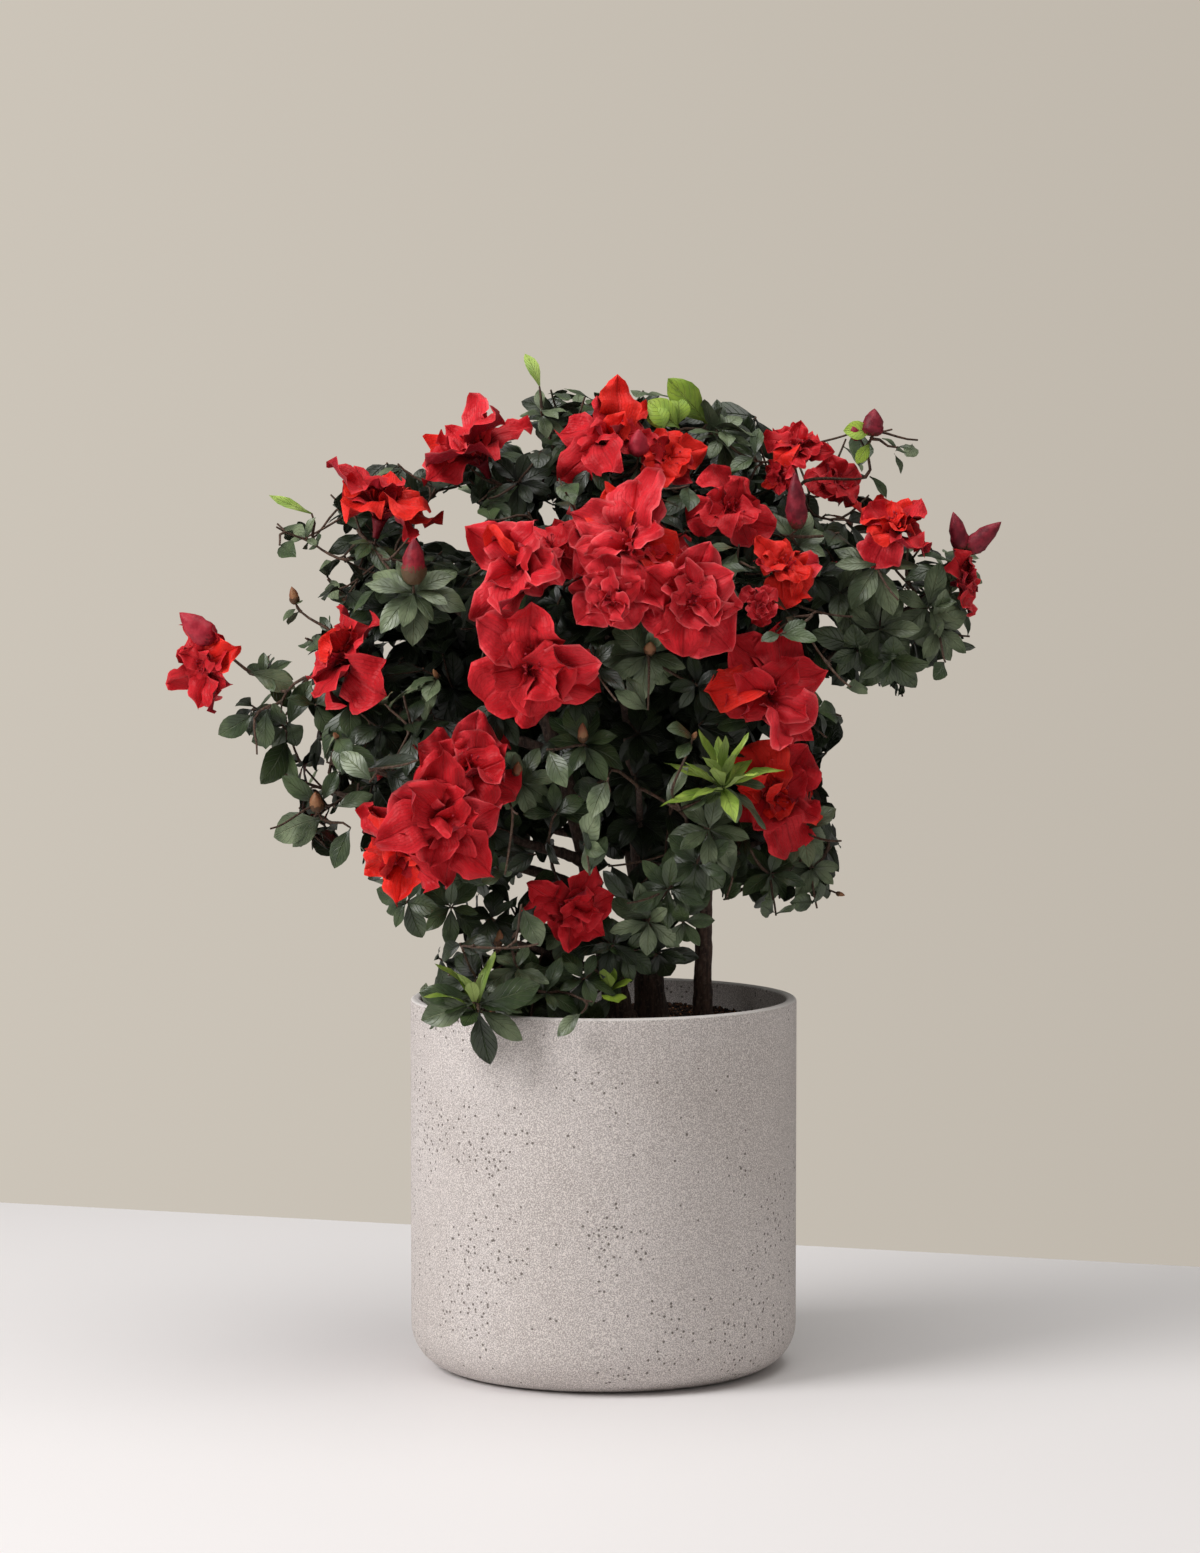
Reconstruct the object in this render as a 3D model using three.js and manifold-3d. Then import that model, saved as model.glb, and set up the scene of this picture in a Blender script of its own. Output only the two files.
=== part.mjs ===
// A double red azalea shrub in a round cast-stone planter, at real size in millimetres.
// +Z is up, +X is to the right and -Y is towards the viewer. The origin is the middle of the planter's
// underside. Four stems rise from the soil. Each carries tapering boughs, and each bough ends where a mass
// of twigs, leaves and blooms begins. A mass keeps to its own convex space, so no two masses can meet.

import * as THREE from "three";
import { mergeVertices } from "three/addons/utils/BufferGeometryUtils.js";
import Module from "manifold-3d";

const wasm = await Module();
wasm.setup();

// Planter and soil
const PLANTER = { radius: 125, height: 239, wall: 7, floor: 12, footRound: 28, rimRound: 2, sides: 40 };
const SOIL_BELOW_RIM = 17;
const SOIL_TOP = PLANTER.height - SOIL_BELOW_RIM;

// Clearances
const CLEAR = 0.3; // between two pieces that touch on the real plant
const OPEN_AIR = 0.6; // between foliage and the limbs that it passes

// Limbs: sides and rings of the solid, and radii. A bough rises with its stem at first, then sags.
const STEM = { sides: 7, rings: 9, flareLength: 1 / 14 };
const BOUGH = { sides: 5, rings: 5, thickest: 4.2, ofStem: 0.75, tip: 2.2 };
const BOUGH_PATH = { rise: 0.22, bend: 0.6, sag: 0.06 };
const MASS_STEM = { sides: 3, rings: 2, foot: 2.4, tip: 1.8 };
const TWIG = { sides: 3, radius: 1.2 };

// Whorls: leaves, the fewest worth growing, the radius of the heart, how far it stands behind and in front
// of the leaves, how far whorls keep apart, and the angle that the leaves open to
const WHORL = { leaves: 6, fewest: 3, heart: 4.5, back: 2.8, front: 1.6, apart: 26, open: 1.05, vary: 0.3 };
const LEAF = { length: 48, vary: 0.28, share: 0.52, widest: 0.58, droop: 0.1 };

// Blooms, as shares of their radius: the outline of a petal, how far its tip stands forward, the two poles
const BLOOM = { petals: 6, notch: 0.6, shoulder: 0.92, raised: 0.22, flared: -0.08, vary: 0.06 };
const CUP = { back: -0.75, throat: -0.42 };
const RULED_BLOOM = { narrowest: 62, vary: 10, aside: 0.55, lift: 0.15, outward: 0.62 };
const SMALLEST_SHARE = 0.7; // how far a bloom may be drawn in to fit its space
const TRIES = 60; // places tried for each whorl that is wanted

// Stems: the foot, two points that the curve leans towards, the tip, the radius at foot and tip, and the
// swelling of the root flare
const STEMS = {
  left: {
    foot: [12, -10], lean: [[-6, -14, 300], [-18, -24, 390]], tip: [-56, -26, 462],
    radius: 8, tipRadius: 3.6, flare: 1.5,
  },
  middle: {
    foot: [31, 6], lean: [[26, 4, 320], [20, -6, 420]], tip: [4, -8, 522],
    radius: 9, tipRadius: 3.4, flare: 1.45,
  },
  right: {
    foot: [64, -12], lean: [[64, -12, 310], [66, -16, 400]], tip: [94, -24, 476],
    radius: 5.8, tipRadius: 3.2, flare: 1.35,
  },
  back: {
    foot: [34, 32], lean: [[22, 44, 300], [14, 66, 380]], tip: [-4, 84, 462],
    radius: 6.5, tipRadius: 3.2, flare: 1.4,
  },
};

// Masses of foliage: centre, half sizes, the stem that carries the bough, how far up that stem it forks,
// and the number of whorls that the rule sets. Whorls that shape the outline, and blooms that show from the
// front, have places of their own. A bloom is its place, the way it faces and its width. A number in place
// of a list leaves the blooms to the rule.
const MASSES = [
  {
    name: "front_bouquet", at: [-4, -108, 502], reach: [116, 98, 98], stem: "middle", fork: 0.62, whorls: 4,
    sprigs: [[28, -134, 456]],
    blooms: [
      { at: [-41, -150, 463], faces: [0.08, -1, -0.12], wide: 78 },
      { at: [-55, -137, 524], faces: [-0.55, -0.8, 0.15], wide: 72 },
      { at: [13, -125, 548], faces: [0, -0.85, 0.5], wide: 76 },
      { at: [3, -154, 503], faces: [-0.15, -0.95, -0.2], wide: 60 },
      { at: [54, -145, 512], faces: [0.3, -0.95, 0], wide: 78 },
    ],
  },
  {
    name: "front_left_low", at: [-104, -102, 374], reach: [92, 104, 88], stem: "left", fork: 0.4, whorls: 4,
    blooms: [
      { at: [-86, -132, 398], faces: [0.1, -0.8, 0.6], wide: 70 },
      { at: [-98, -154, 362], faces: [0.05, -1, 0], wide: 76 },
      { at: [-128, -114, 342], faces: [-0.7, -0.6, -0.4], wide: 58 },
    ],
  },
  {
    name: "crown_top", at: [-28, -14, 586], reach: [126, 92, 84], stem: "middle", fork: 1, whorls: 8,
    sprigs: [[-43, -10, 630], [30, -18, 622]],
    blooms: [
      { at: [4, -44, 604], faces: [-0.1, -0.8, 0.6], wide: 64 },
      { at: [42, -56, 588], faces: [0.4, -0.9, 0.3], wide: 44 },
      { at: [-82, -40, 592], faces: [-0.35, -0.5, 0.8], wide: 72 },
    ],
  },
  {
    name: "crown_right", at: [124, -14, 568], reach: [114, 104, 84], stem: "right", fork: 1, whorls: 8,
    sprigs: [[186, -4, 594]],
    blooms: [
      { at: [80, -68, 556], faces: [0.35, -0.8, 0.4], wide: 56 },
      { at: [131, -26, 590], faces: [-0.25, -0.55, 0.8], wide: 50 },
    ],
  },
  {
    name: "left_high", at: [-150, -26, 534], reach: [94, 96, 76], stem: "left", fork: 1, whorls: 6,
    sprigs: [[-196, -28, 542]],
    blooms: [{ at: [-138, -50, 560], faces: [0.2, -0.45, 0.9], wide: 72 }],
  },
  {
    name: "left_mid", at: [-184, -36, 448], reach: [122, 96, 70], stem: "left", fork: 0.68, whorls: 6,
    sprigs: [[-214, -24, 432]],
    blooms: [
      { at: [-162, -64, 464], faces: [-0.8, -0.6, 0.1], wide: 64 },
      { at: [-262, -22, 458], faces: [-0.75, -0.4, -0.3], wide: 62 },
    ],
  },
  {
    name: "left_low", at: [-172, -8, 372], reach: [88, 92, 80], stem: "left", fork: 0.3, whorls: 6,
    sprigs: [[-194, -20, 350], [-212, -8, 388]],
    blooms: [],
  },
  {
    name: "right_far", at: [190, -10, 488], reach: [80, 98, 84], stem: "right", fork: 0.76, whorls: 7,
    sprigs: [[226, -2, 526], [206, -14, 462], [172, -14, 450]],
    blooms: [
      { at: [184, -38, 536], faces: [0.1, -0.5, 0.85], wide: 58 },
      { at: [236, -8, 508], faces: [0.9, -0.4, 0.1], wide: 38 },
    ],
  },
  {
    name: "front_right", at: [110, -90, 464], reach: [80, 88, 88], stem: "right", fork: 0.86, whorls: 4,
    blooms: [
      { at: [106, -106, 442], faces: [0.4, -0.9, 0.1], wide: 70 },
      { at: [112, -92, 519], faces: [0.3, -0.7, 0.6], wide: 48 },
    ],
  },
  {
    name: "right_low", at: [122, -36, 352], reach: [84, 92, 80], stem: "right", fork: 0.4, whorls: 6,
    blooms: [{ at: [112, -62, 371], faces: [0.45, -0.85, 0.1], wide: 68 }],
  },
  {
    name: "front_centre", at: [22, -88, 380], reach: [94, 92, 104], stem: "middle", fork: 0.4, whorls: 8,
    sprigs: [[66, -112, 396], [-12, -122, 414]],
    blooms: [],
  },
  {
    name: "low_left", at: [-56, -96, 284], reach: [94, 88, 78], stem: "left", fork: 0.12, whorls: 7,
    sprigs: [[-80, -118, 262]],
    blooms: [{ at: [-21, -98, 307], faces: [0.15, -0.95, 0.1], wide: 54 }],
  },
  {
    name: "back_top", at: [-28, 78, 562], reach: [100, 84, 78],
    stem: "back", fork: 1, whorls: 5, blooms: 2,
  },
  {
    name: "back_left", at: [-128, 80, 476], reach: [92, 88, 84],
    stem: "back", fork: 0.84, whorls: 6, blooms: 3,
  },
  {
    name: "back_right", at: [104, 92, 490], reach: [96, 90, 86],
    stem: "back", fork: 0.9, whorls: 6, blooms: 3,
  },
  {
    name: "back_centre", at: [-14, 138, 454], reach: [88, 74, 84],
    stem: "back", fork: 0.68, whorls: 5, blooms: 2,
  },
  {
    name: "back_left_low", at: [-96, 82, 366], reach: [88, 84, 76],
    stem: "back", fork: 0.42, whorls: 6, blooms: 2,
  },
  {
    name: "back_right_low", at: [110, 66, 372], reach: [92, 84, 82],
    stem: "back", fork: 0.5, whorls: 6, blooms: 2,
  },
];
const CROWN_HEART = [0, 0, 420]; // the middle that the crown is grouped around
const SPACE = { weight: 0.8, entry: 0.6, entryStep: 0.06, deepestEntry: 0.2, entryMargin: 6 };

const up = new THREE.Vector3(0, 0, 1);
const vec = (p) => new THREE.Vector3(...p);

// A repeatable stream of numbers from 0 to 1
function seeded(seed) {
  let state = seed * 7919 + 12345;
  return () => {
    state = (state * 1664525 + 1013904223) % 4294967296;
    return state / 4294967296;
  };
}

// three.js geometry to a solid that can be cut and joined
function solid(geometry) {
  const bare = geometry.index ? geometry.toNonIndexed() : geometry.clone();
  bare.deleteAttribute("normal");
  bare.deleteAttribute("uv");
  const merged = mergeVertices(bare, 1e-4);
  return new wasm.Manifold(
    new wasm.Mesh({
      numProp: 3,
      vertProperties: merged.attributes.position.array,
      triVerts: new Uint32Array(merged.index.array),
    }),
  );
}

function geometryOf(body) {
  const mesh = body.getMesh();
  const geometry = new THREE.BufferGeometry();
  geometry.setAttribute("position", new THREE.BufferAttribute(mesh.vertProperties, 3));
  geometry.setIndex(new THREE.BufferAttribute(mesh.triVerts, 1));
  return geometry;
}

// The largest piece of a body: loose scraps and sealed hollows are dropped
function largest(body) {
  return body.decompose().reduce((best, piece) => (piece.volume() > best.volume() ? piece : best));
}

function cornersOf(geometry) {
  const place = geometry.attributes.position;
  return Array.from({ length: place.count }, (_, i) => new THREE.Vector3().fromBufferAttribute(place, i));
}

// Two directions square to a third
function squareTo(direction) {
  const other = Math.abs(direction.z) < 0.9 ? up : vec([1, 0, 0]);
  const across = direction.clone().cross(other).normalize();
  return [across, new THREE.Vector3().crossVectors(direction, across).normalize()];
}

// Planter: one wall turned round the axis, with a rounded foot and rim
function planterGeometry() {
  const { radius, height, wall, floor, footRound, rimRound, sides } = PLANTER;
  const outline = new THREE.Path();
  outline.moveTo(0, 0);
  outline.lineTo(radius - footRound, 0);
  outline.absarc(radius - footRound, footRound, footRound, -Math.PI / 2, 0, false);
  outline.lineTo(radius, height - rimRound);
  outline.lineTo(radius - rimRound, height);
  outline.lineTo(radius - wall + rimRound, height);
  outline.lineTo(radius - wall, height - rimRound);
  outline.lineTo(radius - wall, floor);
  outline.lineTo(0, floor);
  const points = outline.getPoints(2).filter((p, i, all) => i === 0 || p.distanceTo(all[i - 1]) > 1e-3);
  return new THREE.LatheGeometry(points, sides).rotateX(Math.PI / 2);
}

// Soil: fills the planter up to a flat top
function soilGeometry() {
  const radius = PLANTER.radius - PLANTER.wall - CLEAR;
  const depth = SOIL_TOP - PLANTER.floor - CLEAR;
  const geometry = new THREE.CylinderGeometry(radius, radius, depth, PLANTER.sides);
  return geometry.rotateX(Math.PI / 2).translate(0, 0, SOIL_TOP - depth / 2);
}

// A round limb: a cylinder whose rings are carried along the curve, each with its own radius
function limbGeometry(curve, radiusAt, sides, rings) {
  const geometry = new THREE.CylinderGeometry(1, 1, 1, sides, rings);
  const frames = curve.computeFrenetFrames(rings);
  const place = geometry.attributes.position;
  const corner = new THREE.Vector3();
  for (let i = 0; i < place.count; i++) {
    corner.fromBufferAttribute(place, i);
    const ring = Math.round((corner.y + 0.5) * rings);
    const radius = radiusAt(ring / rings);
    const point = curve.getPointAt(ring / rings);
    point.addScaledVector(frames.binormals[ring], corner.x * radius);
    point.addScaledVector(frames.normals[ring], corner.z * radius);
    place.setXYZ(i, point.x, point.y, point.z);
  }
  return geometry;
}

const taper = (foot, tip) => (along) => foot + (tip - foot) * along;

// A straight twig between two points
function twigGeometry(from, to) {
  return limbGeometry(new THREE.LineCurve3(from, to), taper(TWIG.radius, TWIG.radius), TWIG.sides, 1);
}

// A star: two poles, with a rim of points between them, as a whorl of leaves or a ring of petals has
function starGeometry(back, front, rim) {
  const geometry = new THREE.SphereGeometry(1, rim.length, 2);
  const place = geometry.attributes.position;
  for (let i = 0; i < place.count; i++) {
    const height = place.getY(i);
    const turn = Math.atan2(place.getZ(i), -place.getX(i)) / (Math.PI * 2);
    const onRim = rim[(Math.round(turn * rim.length) + rim.length) % rim.length];
    const point = height > 0.5 ? front : height < -0.5 ? back : onRim;
    place.setXYZ(i, point.x, point.y, point.z);
  }
  return geometry;
}

// Stems
function stemCurve({ foot, lean, tip }) {
  return new THREE.CubicBezierCurve3(vec([...foot, SOIL_TOP + CLEAR]), ...lean.map(vec), vec(tip));
}

function stemRadius({ radius, tipRadius, flare }, along) {
  const swelling = 1 + (flare - 1) * Math.exp(-along / STEM.flareLength);
  return (radius + (tipRadius - radius) * along) * swelling;
}

function stemSolid(stem, curve) {
  const body = solid(limbGeometry(curve, (along) => stemRadius(stem, along), STEM.sides, STEM.rings));
  // The foot is cut level with the ground.
  const deep = PLANTER.radius;
  const ground = new THREE.BoxGeometry(deep, deep, deep);
  ground.translate(...stem.foot, SOIL_TOP + CLEAR - deep / 2);
  return largest(body.subtract(solid(ground)));
}

// The space that a mass keeps to: inside its own reach, and on its side of the plane between it and each
// neighbour. The larger of two masses has the larger share of what lies between them.
function pull(mass, point) {
  const size = (mass.reach[0] + mass.reach[1] + mass.reach[2]) / 3;
  return point.distanceToSquared(mass.centre) - size * size * SPACE.weight;
}

function owns(mass, point, margin) {
  const own = pull(mass, point);
  const gap = (other) => 2 * margin * other.centre.distanceTo(mass.centre);
  return MASSES.every((other) => other === mass || pull(other, point) - own > gap(other));
}

function inReach(mass, point) {
  const away = point.clone().sub(mass.centre).divide(vec(mass.reach));
  return away.length() < 1;
}

// Where a mass begins: on the line from its centre to its fork, as far out as its own space allows
function entryOf(mass, fork) {
  const back = fork.clone().sub(mass.centre).normalize();
  const size = Math.min(...mass.reach);
  const at = (share) => mass.centre.clone().addScaledVector(back, size * share);
  let share = SPACE.entry;
  while (share > SPACE.deepestEntry && !owns(mass, at(share), SPACE.entryMargin)) share -= SPACE.entryStep;
  return at(share);
}

function boughCurve(fork, entry, stemDirection) {
  const run = entry.distanceTo(fork);
  const lift = fork.clone().addScaledVector(stemDirection, run * BOUGH_PATH.rise);
  const middle = fork.clone().lerp(entry, BOUGH_PATH.bend).addScaledVector(up, -run * BOUGH_PATH.sag);
  return new THREE.CubicBezierCurve3(fork, lift, middle, entry);
}

// A bloom: a shallow cup with a rim of pointed petals, every other one held further forward
function bloomParts(at, face, radius, shape) {
  const [right, over] = squareTo(face);
  const forward = (share) => at.clone().addScaledVector(face, radius * share);
  const start = shape[BLOOM.petals] * Math.PI;
  const rim = [];
  for (let petal = 0; petal < BLOOM.petals; petal++) {
    const lift = petal % 2 ? BLOOM.raised : BLOOM.flared;
    const reach = 1 - BLOOM.vary * shape[petal];
    const outline = [BLOOM.notch, BLOOM.shoulder * reach, reach, BLOOM.shoulder * reach];
    outline.forEach((out, i) => {
      const turn = start + ((petal + i / outline.length) / BLOOM.petals) * Math.PI * 2;
      const point = forward(i === 0 ? 0 : i === 2 ? lift : lift * 0.6);
      point.addScaledVector(right, Math.cos(turn) * out * radius);
      point.addScaledVector(over, Math.sin(turn) * out * radius);
      rim.push(point);
    });
  }
  // The stalk enters the cup beside its back pole, through the root of the first petal.
  const into = forward((CUP.back + CUP.throat) / 2).lerp(rim[2], 0.2);
  return { into, cup: starGeometry(forward(CUP.back), forward(CUP.throat), rim) };
}

// Blooms that the rule sets on the outer side of a mass
function ruledBlooms(mass, count, random) {
  const { narrowest, vary, aside, lift, outward: share } = RULED_BLOOM;
  const outward = mass.centre.clone().sub(vec(CROWN_HEART)).normalize();
  const [right] = squareTo(outward);
  return Array.from({ length: count }, (_, i) => {
    const side = right.clone().applyAxisAngle(outward, ((i + random()) / count) * Math.PI * 2);
    const face = outward.clone().addScaledVector(side, aside).addScaledVector(up, lift).normalize();
    const at = face.clone().multiply(vec(mass.reach)).multiplyScalar(share).add(mass.centre);
    return { at: at.toArray(), faces: face.toArray(), wide: narrowest + vary * random() };
  });
}

// A whorl: leaves round the end of a twig. A leaf that does not fit is cut back to a bud scale.
function whorlGeometry(tip, direction, random, fits) {
  const [right, over] = squareTo(direction);
  const start = random() * Math.PI * 2;
  const rim = [];
  const roots = [];
  for (let leaf = 0; leaf < WHORL.leaves; leaf++) {
    const length = LEAF.length * (1 + LEAF.vary * (random() - 0.5));
    const open = WHORL.open + WHORL.vary * (random() - 0.5);
    const corner = (turn, out, lift) => {
      const side = right.clone().multiplyScalar(Math.cos(turn)).addScaledVector(over, Math.sin(turn));
      const along = direction.clone().multiplyScalar(Math.cos(open)).addScaledVector(side, Math.sin(open));
      return tip.clone().addScaledVector(along, out).addScaledVector(up, lift);
    };
    const turn = start + ((leaf + 0.25 * (random() - 0.5)) / WHORL.leaves) * Math.PI * 2;
    const half = Math.atan((LEAF.share * 0.5) / LEAF.widest);
    const edge = (length * LEAF.widest) / Math.cos(half);
    const end = corner(turn, length, -LEAF.droop * length);
    const points = [corner(turn - half, edge, 0), end, corner(turn + half, edge, 0)];
    if (fits(points, tip)) {
      rim.push(...points);
      roots.push(corner(turn, WHORL.heart, 0));
    } else {
      rim.push(corner(turn, WHORL.heart, 0));
    }
    rim.push(corner(turn + Math.PI / WHORL.leaves, WHORL.heart, 0));
  }
  const back = tip.clone().addScaledVector(direction, -WHORL.back);
  const front = tip.clone().addScaledVector(direction, WHORL.front);
  return { roots, star: starGeometry(back, front, rim) };
}

// A place for the next whorl, in the outer half of a mass
function whorlPlace(mass, random) {
  const z = 2 * random() - 1;
  const turn = random() * Math.PI * 2;
  const way = vec([Math.sqrt(1 - z * z) * Math.cos(turn), Math.sqrt(1 - z * z) * Math.sin(turn), z]);
  return way.multiply(vec(mass.reach)).multiplyScalar(0.35 + 0.5 * random()).add(mass.centre);
}

// One mass: a stem, twigs that part from it by the seeded rule, and the leaves and blooms that find room
function massSolid(mass, number, limbs) {
  const random = seeded(number + 1);
  const inside = (point) => owns(mass, point, CLEAR) && inReach(mass, point);
  // The solid of a twig, leaf or bloom, if it is inside the space and clear of the limbs and the others
  const fitting = (geometry, others) => {
    if (!cornersOf(geometry).every(inside)) return null;
    const body = solid(geometry);
    return [...limbs, ...others].every((other) => body.minGap(other, OPEN_AIR) >= OPEN_AIR) ? body : null;
  };
  const foot = mass.entry.clone().addScaledVector(mass.heading, CLEAR);
  const bend = mass.entry.clone().addScaledVector(mass.heading, mass.entry.distanceTo(mass.centre) * 0.5);
  const stem = new THREE.QuadraticBezierCurve3(foot, bend, mass.centre);
  const { sides, rings, foot: footRadius, tip: tipRadius } = MASS_STEM;
  const wood = [solid(limbGeometry(stem, taper(footRadius, tipRadius), sides, rings))];
  const heads = [];
  const places = [];

  const blooms = Array.isArray(mass.blooms) ? mass.blooms : ruledBlooms(mass, mass.blooms, random);
  for (const bloom of blooms) {
    const from = stem.getPointAt(0.4 + 0.5 * random());
    const shape = Array.from({ length: BLOOM.petals + 1 }, random);
    const face = vec(bloom.faces).normalize();
    // A bloom that would leave the space is drawn in a little towards the middle.
    for (let size = 1; size > SMALLEST_SHARE; size -= 0.05) {
      const at = mass.centre.clone().lerp(vec(bloom.at), size);
      const { into, cup } = bloomParts(at, face, (bloom.wide / 2) * size, shape);
      const pair = [fitting(twigGeometry(from, into), heads), fitting(cup, [])];
      if (!pair.every(Boolean)) continue;
      wood.push(pair[0]);
      heads.push(pair[1]);
      places.push(at);
      break;
    }
  }

  const leafFits = (points, tip) => {
    const middle = points[0].clone().add(points[2]).multiplyScalar(0.5);
    const poles = [-WHORL.front, WHORL.front].map((lift) => middle.clone().addScaledVector(up, lift));
    return fitting(starGeometry(...poles, [tip, ...points]), [...heads, ...wood]) !== null;
  };
  const growWhorl = (tip) => {
    const from = stem.getPointAt(0.2 + 0.75 * random());
    const heading = tip.clone().sub(from).normalize();
    const { roots, star } = whorlGeometry(tip, heading, random, leafFits);
    const head = roots.length >= WHORL.fewest && fitting(star, [...heads, ...wood]);
    // The twig ends sunk in the root of the first leaf.
    const twig = head && fitting(twigGeometry(from, roots[0]), heads);
    if (!twig) return false;
    wood.push(twig);
    heads.push(head);
    places.push(tip);
    return true;
  };
  (mass.sprigs || []).map(vec).forEach(growWhorl);
  let wanted = mass.whorls;
  for (let tries = 0; tries < mass.whorls * TRIES && wanted > 0; tries++) {
    const tip = whorlPlace(mass, random);
    const crowded = places.some((other) => other.distanceTo(tip) < WHORL.apart);
    if (!crowded && growWhorl(tip)) wanted -= 1;
  }
  return largest(wasm.Manifold.union([...wood, ...heads]).simplify(0.1));
}

// Finishes
const finishes = {
  planter: new THREE.MeshStandardMaterial({ color: 0xc3bab4, roughness: 0.85, metalness: 0 }),
  soil: new THREE.MeshStandardMaterial({ color: 0x2e211a, roughness: 1, metalness: 0 }),
  bark: new THREE.MeshStandardMaterial({ color: 0x4a3a30, roughness: 0.9, metalness: 0 }),
  foliage: new THREE.MeshStandardMaterial({ color: 0x2f4a38, roughness: 0.55, metalness: 0 }),
};

const shrub = new THREE.Group();
function show(name, geometry, finish) {
  const mesh = new THREE.Mesh(geometry, finish);
  mesh.name = name;
  shrub.add(mesh);
}

const planter = planterGeometry();
const soil = soilGeometry();
show("planter", planter, finishes.planter);
show("soil", soil, finishes.soil);
const limbs = [solid(planter), solid(soil)];

const stems = {};
for (const [name, stem] of Object.entries(STEMS)) {
  const curve = stemCurve(stem);
  const body = stemSolid(stem, curve);
  // The same stem, a clearance thicker, hollows the seats of its boughs.
  const seatRadius = (along) => stemRadius(stem, along) + CLEAR;
  const seat = solid(limbGeometry(curve, seatRadius, STEM.sides, STEM.rings));
  stems[name] = { ...stem, curve, seat };
  limbs.push(body);
  show("stem_" + name, geometryOf(body), finishes.bark);
}

for (const mass of MASSES) mass.centre = vec(mass.at);
for (const mass of MASSES) {
  const stem = stems[mass.stem];
  const fork = stem.curve.getPointAt(mass.fork);
  const stemDirection = stem.curve.getTangentAt(mass.fork);
  const thick = Math.min(BOUGH.thickest, stemRadius(stem, mass.fork) * BOUGH.ofStem);
  if (mass.fork === 1) fork.addScaledVector(stemDirection, CLEAR);
  mass.entry = entryOf(mass, fork);
  const curve = boughCurve(fork, mass.entry, stemDirection);
  mass.heading = curve.getTangentAt(1);
  const whole = solid(limbGeometry(curve, taper(thick, BOUGH.tip), BOUGH.sides, BOUGH.rings));
  const body = mass.fork === 1 ? whole : largest(whole.subtract(stem.seat));
  limbs.push(body);
  show("bough_" + mass.name, geometryOf(body), finishes.bark);
}

MASSES.forEach((mass, number) => {
  show("foliage_" + mass.name, geometryOf(massSolid(mass, number, limbs)), finishes.foliage);
});

export default shrub;
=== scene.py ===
# %% [markdown]
# # A potted azalea shrub
#
# The real object is a young azalea in a plain round planter of cast stone: four thin stems rise from dark
# soil, part into boughs, and carry small dark leaves in rosettes and large ruffled scarlet blooms.
# A plant could be sculpted by hand, grown by a particle system, or grown by a rule. This lesson uses a rule,
# because each leaf then has a twig that carries it, and the crown is whole from every side.

# %% Load the frame
import math

import bmesh
import bpy
import numpy as np
from mathutils import Matrix, Quaternion, Vector, noise


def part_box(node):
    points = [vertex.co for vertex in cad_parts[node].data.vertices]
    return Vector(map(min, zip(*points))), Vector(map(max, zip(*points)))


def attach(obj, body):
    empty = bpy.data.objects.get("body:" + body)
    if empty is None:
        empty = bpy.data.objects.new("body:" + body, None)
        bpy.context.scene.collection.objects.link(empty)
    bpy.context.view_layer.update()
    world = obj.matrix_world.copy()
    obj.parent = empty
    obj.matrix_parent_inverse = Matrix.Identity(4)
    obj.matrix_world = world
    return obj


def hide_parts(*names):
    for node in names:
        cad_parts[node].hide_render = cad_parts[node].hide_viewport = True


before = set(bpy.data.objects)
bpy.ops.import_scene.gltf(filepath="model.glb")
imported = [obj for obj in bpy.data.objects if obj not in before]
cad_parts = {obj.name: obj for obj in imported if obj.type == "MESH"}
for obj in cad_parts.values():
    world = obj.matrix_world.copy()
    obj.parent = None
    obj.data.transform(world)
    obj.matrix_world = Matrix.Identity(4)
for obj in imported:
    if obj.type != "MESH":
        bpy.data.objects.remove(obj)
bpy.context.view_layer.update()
MM = 0.001
FULL_TURN = 2 * math.pi
UP = Vector((0, 0, 1))
(_, pot_high), (soil_low, soil_high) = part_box("planter"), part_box("soil")
POT_RADIUS, POT_HEIGHT = pot_high.x, pot_high.z
SOIL_RADIUS, SOIL_TOP = soil_high.x, soil_high.z
print(f"planter {POT_RADIUS * 2 / MM:.0f} by {POT_HEIGHT / MM:.0f} mm, soil at {SOIL_TOP / MM:.0f} mm")

# %% [markdown]
# ## Helpers
#
# Materials, the world and Geometry Nodes are trees of nodes, and every piece is a mesh in an object. They
# could be made by hand in Blender's editors. Helpers make them here, so that each later step reads as a
# line or two.


# %% Nodes
def feed(tree, socket, value):
    """Gives a socket another node's output or a plain value. A plain colour gets its alpha here."""
    if isinstance(value, bpy.types.NodeSocket):
        tree.links.new(value, socket)
    else:
        socket.default_value = (*value, 1) if socket.type == "RGBA" and len(value) == 3 else value


def put(tree, kind, output, settings=None, **inputs):
    """A new node's output, or the node itself for None. Input n3 is the fourth socket, others go by name."""
    node = tree.nodes.new(kind)
    for key, value in (settings or {}).items():
        setattr(node, key, value)
    for key, value in inputs.items():
        by_number = key[0] == "n" and key[1:].isdigit()
        feed(tree, node.inputs[int(key[1:]) if by_number else key.replace("_", " ")], value)
    return node if output is None else node.outputs[output]


def reckon(tree, operation, *values):
    """The result of a Math node."""
    numbered = {f"n{i}": value for i, value in enumerate(values)}
    return put(tree, "ShaderNodeMath", 0, {"operation": operation}, **numbered)


def times(tree, first, second):
    return reckon(tree, "MULTIPLY", first, second)


def ramp(tree, value, low, high, start=0.0, end=1.0):
    """A value brought from low..high to start..end, smoothly."""
    return put(tree, "ShaderNodeMapRange", "Result", {"interpolation_type": "SMOOTHSTEP"}, Value=value,
               From_Min=low, From_Max=high, To_Min=start, To_Max=end)


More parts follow.
